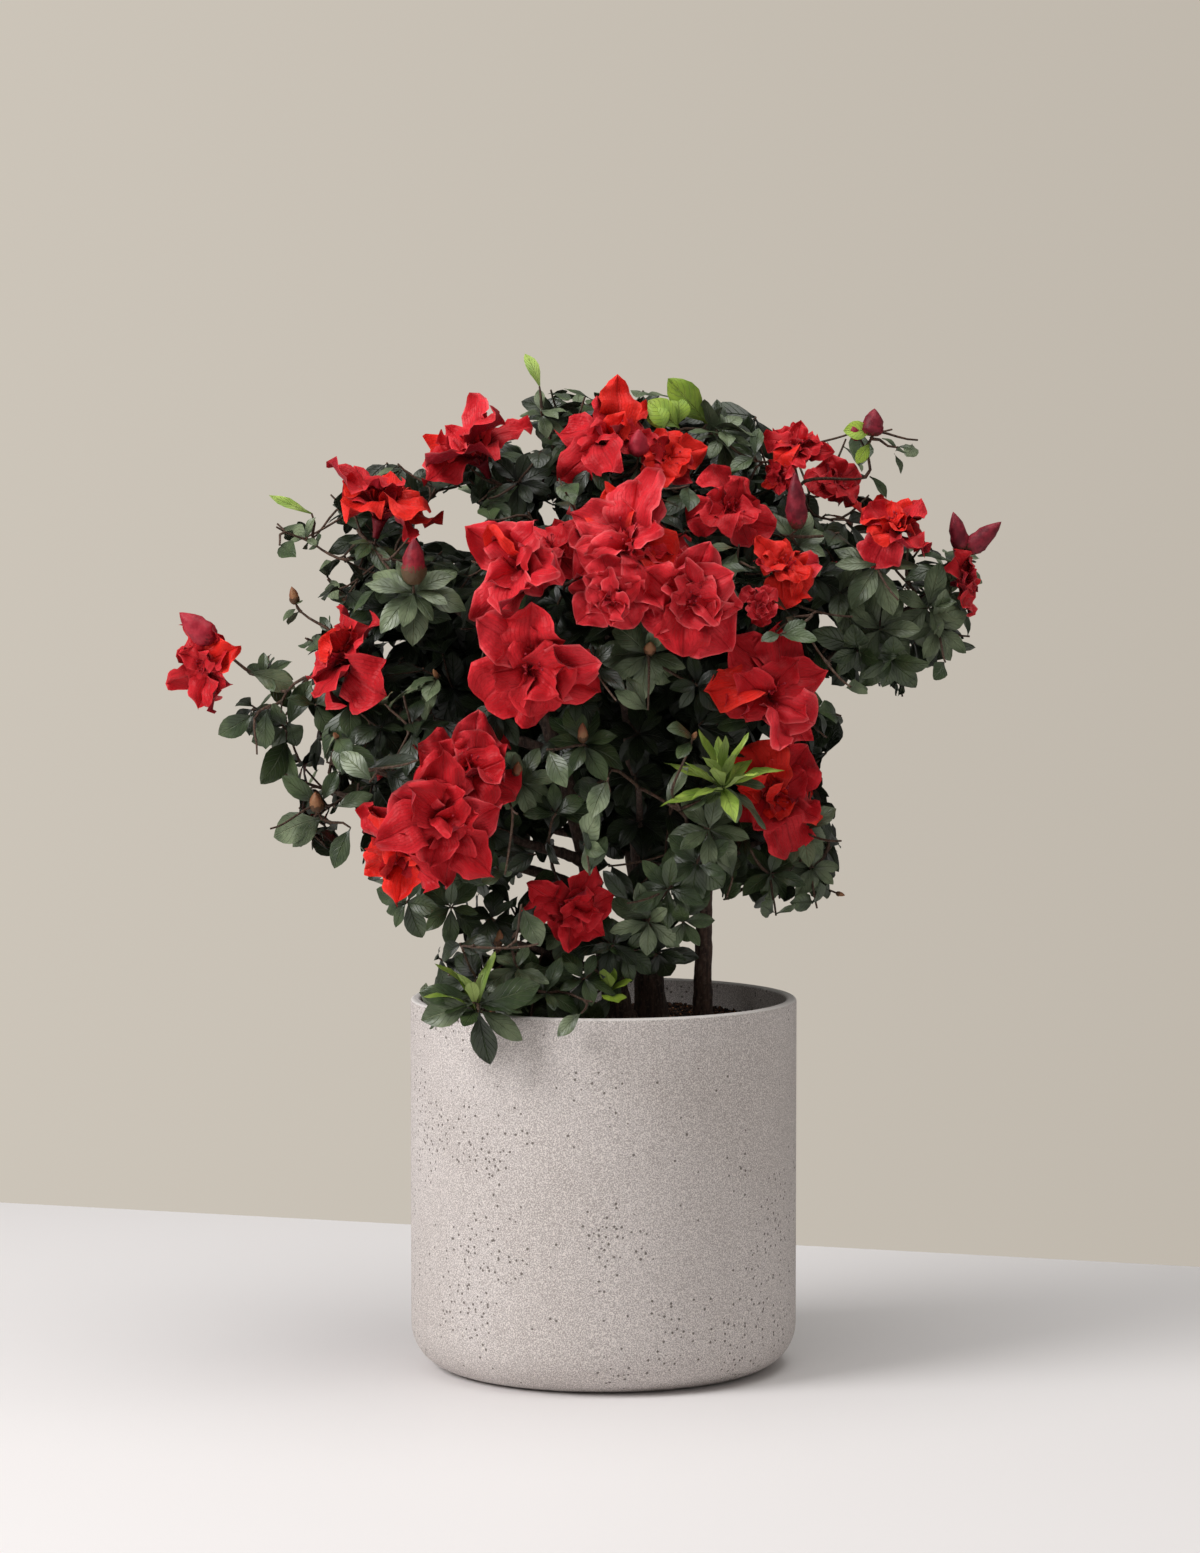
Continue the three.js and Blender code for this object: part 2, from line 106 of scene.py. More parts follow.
def noisy(tree, place, scale, detail, **more):
    return put(tree, "ShaderNodeTexNoise", "Fac", Vector=place, Scale=scale, Detail=detail, **more)


def blend(tree, share, first, second):
    """Two colours mixed by a share, each a socket or a plain colour."""
    return put(tree, "ShaderNodeMix", 2, {"data_type": "RGBA"}, n0=share, n6=first, n7=second)


def new_group(name, kind, inputs, outputs):
    """A node group, its given values and its end. An input tells its type, or a value that shows it."""
    group = bpy.data.node_groups.new(name, kind)
    for title, value in inputs.items():
        typed = isinstance(value, str)
        socket = value if typed else "Int" if isinstance(value, int) else "Float"
        item = group.interface.new_socket(title, in_out="INPUT", socket_type="NodeSocket" + socket)
        if not typed:
            item.default_value = value
    for title, socket in outputs.items():
        group.interface.new_socket(title, in_out="OUTPUT", socket_type="NodeSocket" + socket)
    return group, put(group, "NodeGroupInput", None).outputs, put(group, "NodeGroupOutput", None)


# %% Pieces
def to_piece(name, data, linked=True, smooth=False):
    """An object from its data. A bmesh is made a mesh first, and freed."""
    if isinstance(data, bmesh.types.BMesh):
        shape, data = data, bpy.data.meshes.new(name)
        for face in shape.faces:
            face.smooth = smooth
        shape.to_mesh(data)
        shape.free()
    piece = bpy.data.objects.new(name, data)
    if linked:
        bpy.context.scene.collection.objects.link(piece)
    return piece


def hand_over(piece, slot, *replaced):
    """Puts a finished piece on the part's one body and hides the CAD nodes it replaces. Its slot is not used.
    """
    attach(piece, "root")
    if replaced:
        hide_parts(*replaced)
    print(piece.name, "has", sum(len(face.vertices) - 2 for face in piece.data.polygons), "triangles")


# %% [markdown]
# ## Camera, floor and light
#
# The picture was taken from about three metres away with a long lens, a little above the rim and looking
# slightly down. A camera could be fitted by eye. Here its place follows from the planter's ellipses.
# The planter stands on a pale slab whose far edge runs a little aslant, in front of a plain warm grey wall.
# The wall is the world's own colour, so that it is there from every side and never blocks a view. It is
# painted lighter on the left and darker on the right: painted light from the window lamp's side.

# %% Camera
CAMERA_PLACE = Vector((-2.3, -2907, 565)) * MM
CAMERA_DOWN = 3.6  # degrees
LENS, SENSOR = 104.5, 36  # millimetres, the sensor's along the picture's long side

camera = to_piece("camera", bpy.data.cameras.new("camera"))
camera.data.lens, camera.data.sensor_width = LENS, SENSOR
camera.location = CAMERA_PLACE
camera.rotation_euler = (math.radians(90 - CAMERA_DOWN), 0, 0)
bpy.context.scene.camera = camera
bpy.context.scene.view_settings.view_transform = "Standard"
print("camera", tuple(round(c, 3) for c in camera.location))


# %% Materials
def start_material(name, roughness, **constants):
    """A material and its tree, with the constants on the shader's own sockets."""
    material = bpy.data.materials.new(name)
    material.use_nodes = True
    tree = material.node_tree
    for key, value in {"Roughness": roughness, **constants}.items():
        feed(tree, tree.nodes["Principled BSDF"].inputs[key.replace("_", " ")], value)
    return material, tree


def own_place(tree):
    return put(tree, "ShaderNodeTexCoord", "Object")


def end_material(material, base, height, strength, distance):
    """Gives a material its base colour and a bump from a height."""
    tree = material.node_tree
    sockets = tree.nodes["Principled BSDF"].inputs
    bump = put(tree, "ShaderNodeBump", "Normal", Height=height, Strength=strength, Distance=distance)
    feed(tree, sockets["Base Color"], base)
    feed(tree, sockets["Normal"], bump)
    return material


# %% Floor slab
SLAB = {"back": 0.504, "slope": -0.327, "half": 1.9, "front": 3.0, "thick": 0.03}
FLOOR_COLOUR = (0.845, 0.822, 0.822)


def floor_slab():
    """A slab whose far edge is nearer on the right than on the left, as the photograph's is."""
    half, front, back, slope = (SLAB[key] for key in ("half", "front", "back", "slope"))
    corners = [(-half, -front), (half, -front), (half, back + slope * half), (-half, back - slope * half)]
    shape = bmesh.new()
    top, low = ([shape.verts.new((x, y, z)) for x, y in corners] for z in (0, -SLAB["thick"]))
    shape.faces.new(top)
    shape.faces.new(low[::-1])
    for i in range(4):
        shape.faces.new((top[i], low[i], low[(i + 1) % 4], top[(i + 1) % 4]))
    return to_piece("floor_slab", shape)


slab = floor_slab()
slab.data.materials.append(start_material("pale floor", 0.6, Base_Color=FLOOR_COLOUR)[0])
print("floor slab", SLAB)

# %% World and lamps
# Painted light: the wall's colour runs from light on the left, the window lamp's side, to darker on the
# right.
WALL = {"left": (0.610, 0.560, 0.488), "right": (0.520, 0.474, 0.410)}
WALL_EDGE = 0.16  # how far aside the view's direction points where the wall has its end colours
SKY = {"tone": (1.0, 0.975, 0.93), "strength": 0.27}
LAMPS = {
    "window": {"at": (-2.15, -1.2, 1.85), "wide": 1.6, "watts": 65, "tone": (1.0, 0.985, 0.985)},
    "overhead": {"at": (0.22, -0.3, 2.4), "wide": 1.9, "watts": 27, "tone": (1.0, 0.985, 0.965)},
}
LIGHT_AIM = Vector((0, 0, 0.35))

world = bpy.data.worlds.new("wall")
world.use_nodes = True
bpy.context.scene.world = world
tree = world.node_tree
tree.nodes.clear()
aside = put(tree, "ShaderNodeSeparateXYZ", "X", Vector=put(tree, "ShaderNodeTexCoord", "Generated"))
across = put(tree, "ShaderNodeMapRange", "Result", Value=aside, From_Min=-WALL_EDGE, From_Max=WALL_EDGE)
seen = put(tree, "ShaderNodeBackground", 0, Color=blend(tree, across, WALL["left"], WALL["right"]))
lit = put(tree, "ShaderNodeBackground", 0, Color=SKY["tone"], Strength=SKY["strength"])
by_camera = put(tree, "ShaderNodeLightPath", "Is Camera Ray")
either = put(tree, "ShaderNodeMixShader", 0, n0=by_camera, n1=lit, n2=seen)
put(tree, "ShaderNodeOutputWorld", None, Surface=either)

for name, lamp in LAMPS.items():
    light = bpy.data.lights.new(name, "AREA")
    light.shape, light.size, light.energy, light.color = "DISK", lamp["wide"], lamp["watts"], lamp["tone"]
    holder = to_piece(name, light)
    holder.location = lamp["at"]
    holder.rotation_euler = (LIGHT_AIM - Vector(lamp["at"])).to_track_quat("-Z", "Y").to_euler()
print("lamps", list(LAMPS))

# %% [markdown]
# ## Effects that several finishes share
#
# Stone, soil and bark all have grain, and leaves and petals both have veins. Each effect could be painted
# as an image. A shader node group is used, because one group serves every finish at its own scale.

# %% Speckle: fine light and dark grains
GRAIN_EDGES = {"light": 0.62, "dark": 0.38, "reach": 0.2, "soft": 0.06}  # of the noise's 0 to 1


def speckle_group():
    group, given, end = new_group(
        "speckle", "ShaderNodeTree", {"Vector": "Vector", "Grains": 900.0, "Share": 0.3},
        {"Light": "Float", "Dark": "Float", "Height": "Float"})
    grain = noisy(group, given["Vector"], given["Grains"], 2.0)
    edge = times(group, given["Share"], GRAIN_EDGES["reach"])
    above = reckon(group, "SUBTRACT", GRAIN_EDGES["light"], edge)
    below = reckon(group, "ADD", GRAIN_EDGES["dark"], edge)
    light = ramp(group, grain, above, reckon(group, "ADD", above, GRAIN_EDGES["soft"]))
    dark = ramp(group, grain, reckon(group, "SUBTRACT", below, GRAIN_EDGES["soft"]), below, 1.0, 0.0)
    for name, value in (("Light", light), ("Dark", dark), ("Height", grain)):
        feed(group, end.inputs[name], value)
    return group


SPECKLE = speckle_group()
print("shared effect", SPECKLE.name)


# %% Mottling: slow changes of tone
def mottle_group():
    group, given, end = new_group(
        "mottle", "ShaderNodeTree", {"Vector": "Vector", "Patches": 12.0, "Strength": 1.0}, {"Mask": "Float"})
    patches = ramp(group, noisy(group, given["Vector"], given["Patches"], 3.0), 0.35, 0.65)
    feed(group, end.inputs["Mask"], times(group, patches, given["Strength"]))
    return group


MOTTLE = mottle_group()
print("shared effect", MOTTLE.name)

# %% Veins: a midrib and side veins on a blade's own UV map
SIDE_VEIN = {"wide": 0.28, "weight": 0.6}


def vein_group():
    group, given, end = new_group("veins", "ShaderNodeTree", {"Pairs": 6.0, "Sweep": 0.5, "Midrib": 0.05},
                                  {"Mask": "Float", "Along": "Float", "Across": "Float"})
    flat = put(group, "ShaderNodeUVMap", "UV", {"uv_map": "UVMap"})
    spot = put(group, "ShaderNodeSeparateXYZ", None, Vector=flat).outputs
    along = spot["Y"]
    across = times(group, reckon(group, "ABSOLUTE", reckon(group, "SUBTRACT", spot["X"], 0.5)), 2.0)
    midrib = ramp(group, across, 0.0, given["Midrib"], 1.0, 0.0)
    swept = reckon(group, "SUBTRACT", along, times(group, across, given["Sweep"]))
    waves = reckon(group, "SINE", times(group, times(group, swept, given["Pairs"]), math.pi))
    side = ramp(group, reckon(group, "ABSOLUTE", waves), 0.0, SIDE_VEIN["wide"], SIDE_VEIN["weight"], 0.0)
    mask = reckon(group, "MAXIMUM", midrib, side)
    for name, value in (("Mask", mask), ("Along", along), ("Across", across)):
        feed(group, end.inputs[name], value)
    return group


def use_group(tree, group, **inputs):
    return put(tree, "ShaderNodeGroup", None, {"node_tree": group}, **inputs).outputs


VEINS = vein_group()
print("shared effect", VEINS.name)

# %% [markdown]
# ## Planter
#
# The planter is cast stone: one round wall with a softly rounded foot and a thin rim. Its skin is a fine
# pepper of light and dark grains, with tiny air holes in loose clusters. It could be a primitive cylinder
# with a bevel. A profile is turned round the axis instead, because foot, wall and rim are then one skin.


# %% Round shapes
def round_shape(name, rings, sides, lobes=0, twist=0.0, ridge=0.0, pattern=True):
    """A closed round shape along Z from rings of (height, radius), with lobes that wind round it. A pattern,
    which is placed many times, has its height as a UV map and isn't linked to the scene."""
    shape = bmesh.new()
    rows = []
    for height, radius in rings:
        angles = [FULL_TURN * i / sides for i in range(sides if radius else 1)]
        outs = [radius * (1 + ridge * abs(math.sin(lobes * 0.5 * (a + twist * height)))) for a in angles]
        places = [(r * math.cos(a), r * math.sin(a), height) for r, a in zip(outs, angles)]
        rows.append([shape.verts.new(place) for place in places])
    for low, high in zip(rows, rows[1:]):
        for i in range(sides):
            j = (i + 1) % sides
            if len(low) == 1:
                shape.faces.new((low[0], high[j], high[i]))
            elif len(high) == 1:
                shape.faces.new((low[i], low[j], high[0]))
            else:
                shape.faces.new((low[i], low[j], high[j], high[i]))
    if pattern:
        uv = shape.loops.layers.uv.new("UVMap")
        for loop in (loop for face in shape.faces for loop in face.loops):
            loop[uv].uv = (0, loop.vert.co.z)
    return to_piece(name, shape, linked=not pattern, smooth=True)


# %% Planter shape
WALL_THICK, POT_FLOOR = 7 * MM, 12 * MM
FOOT_ROUND, RIM_ROUND = 28 * MM, 2.2 * MM
POT_SIDES = 160


def rounded(out, high, radius, start, end, count):
    """Rings on an arc round a middle, from one angle to another, in degrees."""
    angles = np.radians(np.linspace(start, end, count))
    return [(high + radius * math.sin(a), out + radius * math.cos(a)) for a in angles]


def planter_rings():
    inner, rim = POT_RADIUS - WALL_THICK, POT_HEIGHT - RIM_ROUND
    foot = rounded(POT_RADIUS - FOOT_ROUND, FOOT_ROUND, FOOT_ROUND, -90, 0, 12)
    wall = [(z, POT_RADIUS) for z in np.linspace(FOOT_ROUND, rim, 24)[1:-1]]
    outer_rim = rounded(POT_RADIUS - RIM_ROUND, rim, RIM_ROUND, 0, 90, 5)
    inner_rim = rounded(inner + RIM_ROUND, rim, RIM_ROUND, 90, 180, 5)
    inside = [(z, inner) for z in np.linspace(rim, POT_FLOOR, 6)[1:]]
    return [(0, 0), *foot, *wall, *outer_rim, *inner_rim, *inside, (POT_FLOOR, 0)]


planter = round_shape("planter_shell", planter_rings(), POT_SIDES, pattern=False)
print("planter faces", len(planter.data.polygons))

# %% Cast stone finish
# The rim colour is a painted highlight on the rim's top, and the hole colour is painted shade in the air
# holes.
STONE = {"shade": (0.505, 0.46, 0.445), "light": (0.57, 0.525, 0.515), "dark grain": (0.29, 0.25, 0.22),
         "pale grain": (0.86, 0.80, 0.75), "hole_shade": (0.08, 0.065, 0.05), "rim_highlight": (0.88, 0.84, 0.81)}
AIR_HOLES = {"a_metre": 270.0, "clusters": 16.0, "fewest": 0.04, "most": 0.9, "core": 0.18, "edge": 0.28,
             "deep": 3.0}
# Painted highlight: over this band the rim's top is painted lighter, where it catches the light.
RIM_HIGHLIGHT_BAND = 1.4 * MM


def cast_stone():
    material, tree = start_material("cast stone", 0.82)
    place = own_place(tree)
    grains = use_group(tree, SPECKLE, Vector=place, Grains=1350.0, Share=0.5)
    patches = use_group(tree, MOTTLE, Vector=place, Patches=9.0, Strength=1.0)
    base = blend(tree, patches["Mask"], STONE["shade"], STONE["light"])
    base = blend(tree, times(tree, grains["Dark"], 0.55), base, STONE["dark grain"])
    base = blend(tree, times(tree, grains["Light"], 0.65), base, STONE["pale grain"])
    # Air holes: a cell of a Voronoi pattern has one in its middle, more often where a slow noise is high
    cells = put(tree, "ShaderNodeTexVoronoi", None, Vector=place, Scale=AIR_HOLES["a_metre"]).outputs
    chance = put(tree, "ShaderNodeSeparateColor", "Red", Color=cells["Color"])
    slow = noisy(tree, place, AIR_HOLES["clusters"], 1.0)
    likely = ramp(tree, slow, 0.48, 0.7, AIR_HOLES["fewest"], AIR_HOLES["most"])
    here = reckon(tree, "LESS_THAN", chance, likely)
    holes = times(tree, here, ramp(tree, cells["Distance"], AIR_HOLES["core"], AIR_HOLES["edge"], 1.0, 0.0))
    # Painted shade: each air hole is painted dark, the shade in its pit, and the bump sinks it too.
    base = blend(tree, times(tree, holes, 0.8), base, STONE["hole_shade"])
    # Painted highlight: lighter towards the top of the rim.
    high = put(tree, "ShaderNodeSeparateXYZ", "Z", Vector=place)
    rim_highlight = ramp(tree, high, POT_HEIGHT - RIM_HIGHLIGHT_BAND, POT_HEIGHT - RIM_HIGHLIGHT_BAND * 0.4, 0.0, 0.85)
    height = reckon(tree, "SUBTRACT", grains["Height"], times(tree, holes, AIR_HOLES["deep"]))
    return end_material(material, blend(tree, rim_highlight, base, STONE["rim_highlight"]), height, 0.45, 0.0006)


planter.data.materials.append(cast_stone())
hand_over(planter, "planter", "planter")

# %% [markdown]
# ## Soil
#
# The soil is dark brown crumbs with flecks of orange bark. It could be one bumpy disc, but crumbs that stand
# free catch the light at the rim. So a low relief carries loose crumbs, which Geometry Nodes scatter.

# %% Soil bed
SOIL = {"rings": 30, "sides": 96, "swells": 22, "clods": 160, "relief": 3.5 * MM, "sunk": 1 * MM}


def soil_height(x, y):
    """The bed's relief: slow swells and small clods, never above the CAD soil by more than a crumb."""
    swells = noise.noise(Vector((x, y, 0)) * SOIL["swells"])
    clods = noise.noise(Vector((x, y, 1)) * SOIL["clods"])
    return SOIL_TOP + SOIL["relief"] * (0.5 * swells + 0.5 * clods) - SOIL["sunk"]


def soil_bed():
    shape = bmesh.new()
    middle = shape.verts.new((0, 0, soil_height(0, 0)))
    rings, sides = [], SOIL["sides"]
    for ring in range(1, SOIL["rings"] + 1):
        radius = SOIL_RADIUS * ring / SOIL["rings"]
        angles = np.linspace(0, FULL_TURN, sides + 1)[:-1]
        spots = [(radius * math.cos(a), radius * math.sin(a)) for a in angles]
        rings.append([shape.verts.new((x, y, soil_height(x, y))) for x, y in spots])
    rings.append([shape.verts.new((v.co.x, v.co.y, soil_low.z)) for v in rings[-1]])
    for i in range(sides):
        shape.faces.new((middle, rings[0][i], rings[0][(i + 1) % sides]))
    for inner, outer in zip(rings, rings[1:]):
        for i in range(sides):
            j = (i + 1) % sides
            shape.faces.new((inner[i], outer[i], outer[j], inner[j]))
    shape.faces.new(rings[-1][::-1])
    return to_piece("soil_bed", shape, smooth=True)


def soil_finish(name, dark, warm, share):
    material, tree = start_material(name, 0.95)
    grains = use_group(tree, SPECKLE, Vector=own_place(tree), Grains=420.0, Share=share)
    base = blend(tree, grains["Light"], dark, warm)
    base = blend(tree, grains["Dark"], base, (0.008, 0.005, 0.004))
    return end_material(material, base, grains["Height"], 0.8, 0.002)


bed = soil_bed()
bed.data.materials.append(soil_finish("soil", (0.040, 0.022, 0.014), (0.36, 0.15, 0.06), 0.4))
print("soil bed faces", len(bed.data.polygons))


# %% Geometry Nodes helpers
def new_tree(name, **inputs):
    """A Geometry Nodes tree that takes a mesh, what it names and a finish, and gives a mesh."""
    inputs = {"Geometry": "Geometry", **inputs, "Finish": "Material"}
    return new_group(name, "GeometryNodeTree", inputs, {"Geometry": "Geometry"})


def place_shapes(group, given, points, **inputs):
    """One of the given shapes on each point."""
    kinds = put(group, "GeometryNodeCollectionInfo", "Instances", Collection=given["Shapes"],
                Separate_Children=True, Reset_Children=True)
    return put(group, "GeometryNodeInstanceOnPoints", "Instances", Points=points, Instance=kinds,
               Pick_Instance=True, **inputs)


def end_tree(group, given, end, geometry):
    """Ends a tree in Realize Instances and Set Material, because the export drops instances."""
    real = put(group, "GeometryNodeRealizeInstances", "Geometry", Geometry=geometry)
    feed(group, end.inputs["Geometry"],
         put(group, "GeometryNodeSetMaterial", "Geometry", Geometry=real, Material=given["Finish"]))
    return group


def grown(name, source, tree, shapes=(), **inputs):
    """A tree's result on a source piece, as a plain mesh. Inputs are set by the sockets' identifiers, and the
    source and the shapes that the tree places are removed."""
    inputs["Shapes"] = box = bpy.data.collections.new("shapes")
    for shape in shapes:
        box.objects.link(shape)
    modifier = source.modifiers.new(tree.name, "NODES")
    modifier.node_group = tree
    for item in tree.interface.items_tree:
        if item.item_type == "SOCKET" and item.in_out == "INPUT" and item.name in inputs:
            modifier[item.identifier] = inputs[item.name]
    evaluated = source.evaluated_get(bpy.context.evaluated_depsgraph_get())
    mesh = bpy.data.meshes.new_from_object(evaluated)
    mesh.name = name
    for item in (source, *shapes):
        bpy.data.objects.remove(item)
    bpy.data.collections.remove(box)
    return to_piece(name, mesh)


# %% Soil crumbs
CRUMB_KINDS = 4
UPPER = 0.5  # how far up a face looks that carries crumbs
ANY_TURN = (6.28, 6.28, 6.28)  # radians


def lump(name, seed, stretch):
    """A small rough lump of few faces."""
    shape = bmesh.new()
    bmesh.ops.create_icosphere(shape, subdivisions=1, radius=1)
    for vert in shape.verts:
        vert.co *= 1 + 0.35 * noise.noise(vert.co * 1.7 + Vector((seed, 0, 0)))
        vert.co.x *= stretch
    return to_piece(name, shape, linked=False)


def scatter_tree():
    """Points on the upper faces, a random lump on each, turned and sized at random."""
    group, given, end = new_tree("crumb scatter", Shapes="Collection", Density=1000.0, Smallest=0.0005,
                                 Largest=0.002, Seed=1)
    normal = put(group, "GeometryNodeInputNormal", 0)
    upper = reckon(group, "GREATER_THAN", put(group, "ShaderNodeSeparateXYZ", "Z", Vector=normal), UPPER)
    points = put(group, "GeometryNodeDistributePointsOnFaces", "Points", Mesh=given["Geometry"],
                 Selection=upper, Density=given["Density"], Seed=given["Seed"])
    size = put(group, "FunctionNodeRandomValue", 1, {"data_type": "FLOAT"}, n2=given["Smallest"],
               n3=given["Largest"], Seed=given["Seed"])
    turn = put(group, "FunctionNodeRandomValue", 0, {"data_type": "FLOAT_VECTOR"}, n1=ANY_TURN)
    return end_tree(group, given, end, place_shapes(group, given, points, Rotation=turn, Scale=size))


def scattered(name, density, smallest, largest, seed, *finish):
    lumps = [lump(f"crumb_{i}", i * 3 + seed, 1 + 0.5 * i) for i in range(CRUMB_KINDS)]
    crumbs = grown(name, to_piece("scatter", bed.data.copy()), SCATTER, lumps, Density=density,
                   Smallest=smallest * MM, Largest=largest * MM, Seed=seed, Finish=soil_finish(*finish))
    hand_over(crumbs, "soil")


SCATTER = scatter_tree()
scattered("soil_crumbs", 48000, 0.6, 1.8, 3, "dark crumbs", (0.038, 0.020, 0.012), (0.16, 0.065, 0.028), 0.35)
scattered("bark_flecks", 9000, 0.5, 1.3, 8, "orange flecks", (0.27, 0.09, 0.028), (0.62, 0.28, 0.12), 0.5)
hand_over(bed, "soil", "soil")

# %% [markdown]
# ## How the shrub grows
#
# Four stems rise from the soil. Each mass of foliage hangs on one of them: a bough leaves the stem at a
# fork and runs into the mass, whose twigs part from it to rosettes of leaves and to blooms. The CAD solids
# were grown by this rule with a few large leaves. The same rule is written again here, from the same sizes,
# and carried on to finer twigs inside the same spaces. All tables are in millimetres, as in the CAD source.

# %% Stems
# Each stem: its foot on the soil, what it leans towards, its tip, its radius at both ends and its root flare
STEMS = {
    "left": {"foot": (12, -10), "lean": [(-6, -14, 300), (-18, -24, 390)], "tip": (-56, -26, 462),
             "radius": 8, "tip_radius": 3.6, "flare": 1.5},
    "middle": {"foot": (31, 6), "lean": [(26, 4, 320), (20, -6, 420)], "tip": (4, -8, 522),
               "radius": 9, "tip_radius": 3.4, "flare": 1.45},
    "right": {"foot": (64, -12), "lean": [(64, -12, 310), (66, -16, 400)], "tip": (94, -24, 476),
              "radius": 5.8, "tip_radius": 3.2, "flare": 1.35},
    "back": {"foot": (34, 32), "lean": [(22, 44, 300), (14, 66, 380)], "tip": (-4, 84, 462),
             "radius": 6.5, "tip_radius": 3.2, "flare": 1.4},
}
FLARE_LENGTH = 1 / 14
BOUGH = {"thickest": 4.2, "of_stem": 0.75, "tip": 2.2, "rise": 0.22, "bend": 0.6, "sag": 0.06,
         "inner_tip": 1.7, "inner_bend": 0.5}
print("stems", list(STEMS))

# %% Masses, with the blooms that the photograph shows
# Each mass: name, middle, reach, stem, place of the fork on it, how many whorls, sprigs that stand out, and
# blooms. Each bloom: place, facing, width, and perhaps the shares of scarlet and of rose petals and its form.
# The masses at the back, which the photograph doesn't show, only say how many blooms to look for.
MASS_KEYS = ("name", "at", "reach", "stem", "fork", "whorls", "sprigs", "blooms")
MASSES = [dict(zip(MASS_KEYS, row)) for row in (
    ("front_bouquet", (-4, -108, 502), (116, 98, 98), "middle", 0.62, 4, [(28, -134, 456)],
     [((-42, -150, 459), (0.08, -1, -0.1), 78, 0.05, 0.2),
      ((-54, -137, 519), (-0.5, -0.85, 0.1), 66, 0.1, 0.5, "star"),
      ((-33, -118, 534), (-0.2, -0.6, 0.8), 46, 0, 0.4),
      ((14, -128, 536), (0, -0.85, 0.5), 76, 0.15, 0.5, "star"),
      ((3, -148, 502), (-0.15, -0.95, -0.1), 50, 0, 0.9, "full"),
      ((54, -144, 502), (0.25, -0.95, 0), 72, 0.1, 0.6, "full"),
      ((36, -118, 528), (0.35, -0.7, 0.6), 48, 0, 0.5)]),
    ("front_left_low", (-104, -102, 374), (92, 104, 88), "left", 0.4, 4, [],
     [((-84, -132, 398), (0.1, -0.8, 0.6), 66), ((-98, -150, 364), (0.05, -1, 0), 72, 0.1, 0.3, "star"),
      ((-128, -114, 342), (-0.7, -0.6, -0.4), 60, 0.85, 0, "star")]),
    ("crown_top", (-28, -14, 586), (126, 92, 84), "middle", 1, 8, [(-43, -10, 630), (30, -18, 622)],
     [((3, -46, 605), (-0.1, -0.75, 0.6), 64, 0.2, 0, "star"), ((42, -56, 588), (0.4, -0.9, 0.3), 44, 0.8),
      ((-84, -42, 597), (-0.4, -0.45, 0.8), 66, 0.1, 0.2, "star")]),
    ("crown_right", (124, -14, 568), (114, 104, 84), "right", 1, 8, [(186, -4, 594)],
     [((81, -70, 556), (0.35, -0.8, 0.4), 50), ((124, -26, 596), (0.1, -0.75, 0.65), 38, 0.1, 0, "star"),
      ((151, 4, 572), (0.4, -0.7, 0.4), 38), ((111, -30, 575), (-0.6, -0.7, 0.1), 24)]),
    ("left_high", (-150, -26, 534), (94, 96, 76), "left", 1, 6, [(-196, -28, 542)],
     [((-139, -50, 562), (0.2, -0.35, 0.9), 66, 0.45, 0, "star")]),
    ("left_mid", (-184, -36, 448), (122, 96, 70), "left", 0.68, 6, [(-214, -24, 432)],
     [((-168, -60, 462), (-0.75, -0.3, 0.35), 66, 0.3, 0),
      ((-256, -22, 454), (-0.5, -0.75, -0.35), 50, 0.1, 0.1, "star")]),
    ("left_low", (-172, -8, 372), (88, 92, 80), "left", 0.3, 6, [(-194, -20, 350), (-212, -8, 388)],
     []),
    ("right_far", (190, -10, 488), (80, 98, 84), "right", 0.76, 7,
     [(226, -2, 526), (206, -14, 462), (172, -14, 450)],
     [((184, -34, 546), (0.05, -0.4, 0.9), 52, 0.5), ((236, -8, 508), (0.9, -0.4, 0.1), 38)]),
    ("front_right", (110, -90, 464), (80, 88, 88), "right", 0.86, 4, [],
     [((106, -106, 442), (0.4, -0.9, 0.1), 70, 0.1, 0.2, "star"),
      ((97, -112, 496), (0.1, -0.9, 0.3), 26, 0, 0.6, "full"),
      ((114, -88, 520), (0.3, -0.7, 0.6), 44, 0.8)]),
    ("right_low", (122, -36, 352), (84, 92, 80), "right", 0.4, 6, [],
     [((112, -66, 373), (0.45, -0.85, 0.1), 68, 0.5)]),
    ("front_centre", (22, -88, 380), (94, 92, 104), "middle", 0.4, 8, [(66, -112, 396), (-12, -122, 414)],
     []),
    ("low_left", (-56, -96, 284), (94, 88, 78), "left", 0.12, 7, [(-80, -118, 262)],
     [((-21, -98, 307), (0.15, -0.95, 0.1), 50, 0, 0, "star")]),
    ("back_top", (-28, 78, 562), (100, 84, 78), "back", 1, 5, [], 3),
    ("back_left", (-128, 80, 476), (92, 88, 84), "back", 0.84, 6, [], 3),
    ("back_right", (104, 92, 490), (96, 90, 86), "back", 0.9, 6, [], 3),
    ("back_centre", (-14, 138, 454), (88, 74, 84), "back", 0.68, 5, [], 3),
    ("back_left_low", (-96, 82, 366), (88, 84, 76), "back", 0.42, 6, [], 2),
    ("back_right_low", (110, 66, 372), (92, 84, 82), "back", 0.5, 6, [], 2),
)]
CROWN_HEART = Vector((0, 0, 420)) * MM
SPACE = {"weight": 0.8, "entry": 0.6, "entry_step": 0.06, "deepest_entry": 0.2, "entry_margin": 6 * MM}
RULED_BLOOM = {"narrowest": 62, "vary": 10, "aside": 0.55, "lift": 0.15, "outward": 0.62, "behind": 60}
BY_NAME = {mass["name"]: mass for mass in MASSES}
print(len(STEMS), "stems,", len(MASSES), "masses")


# %% Paths and seeded numbers
WORD = 2 ** 32
CURVE_STEPS = 121


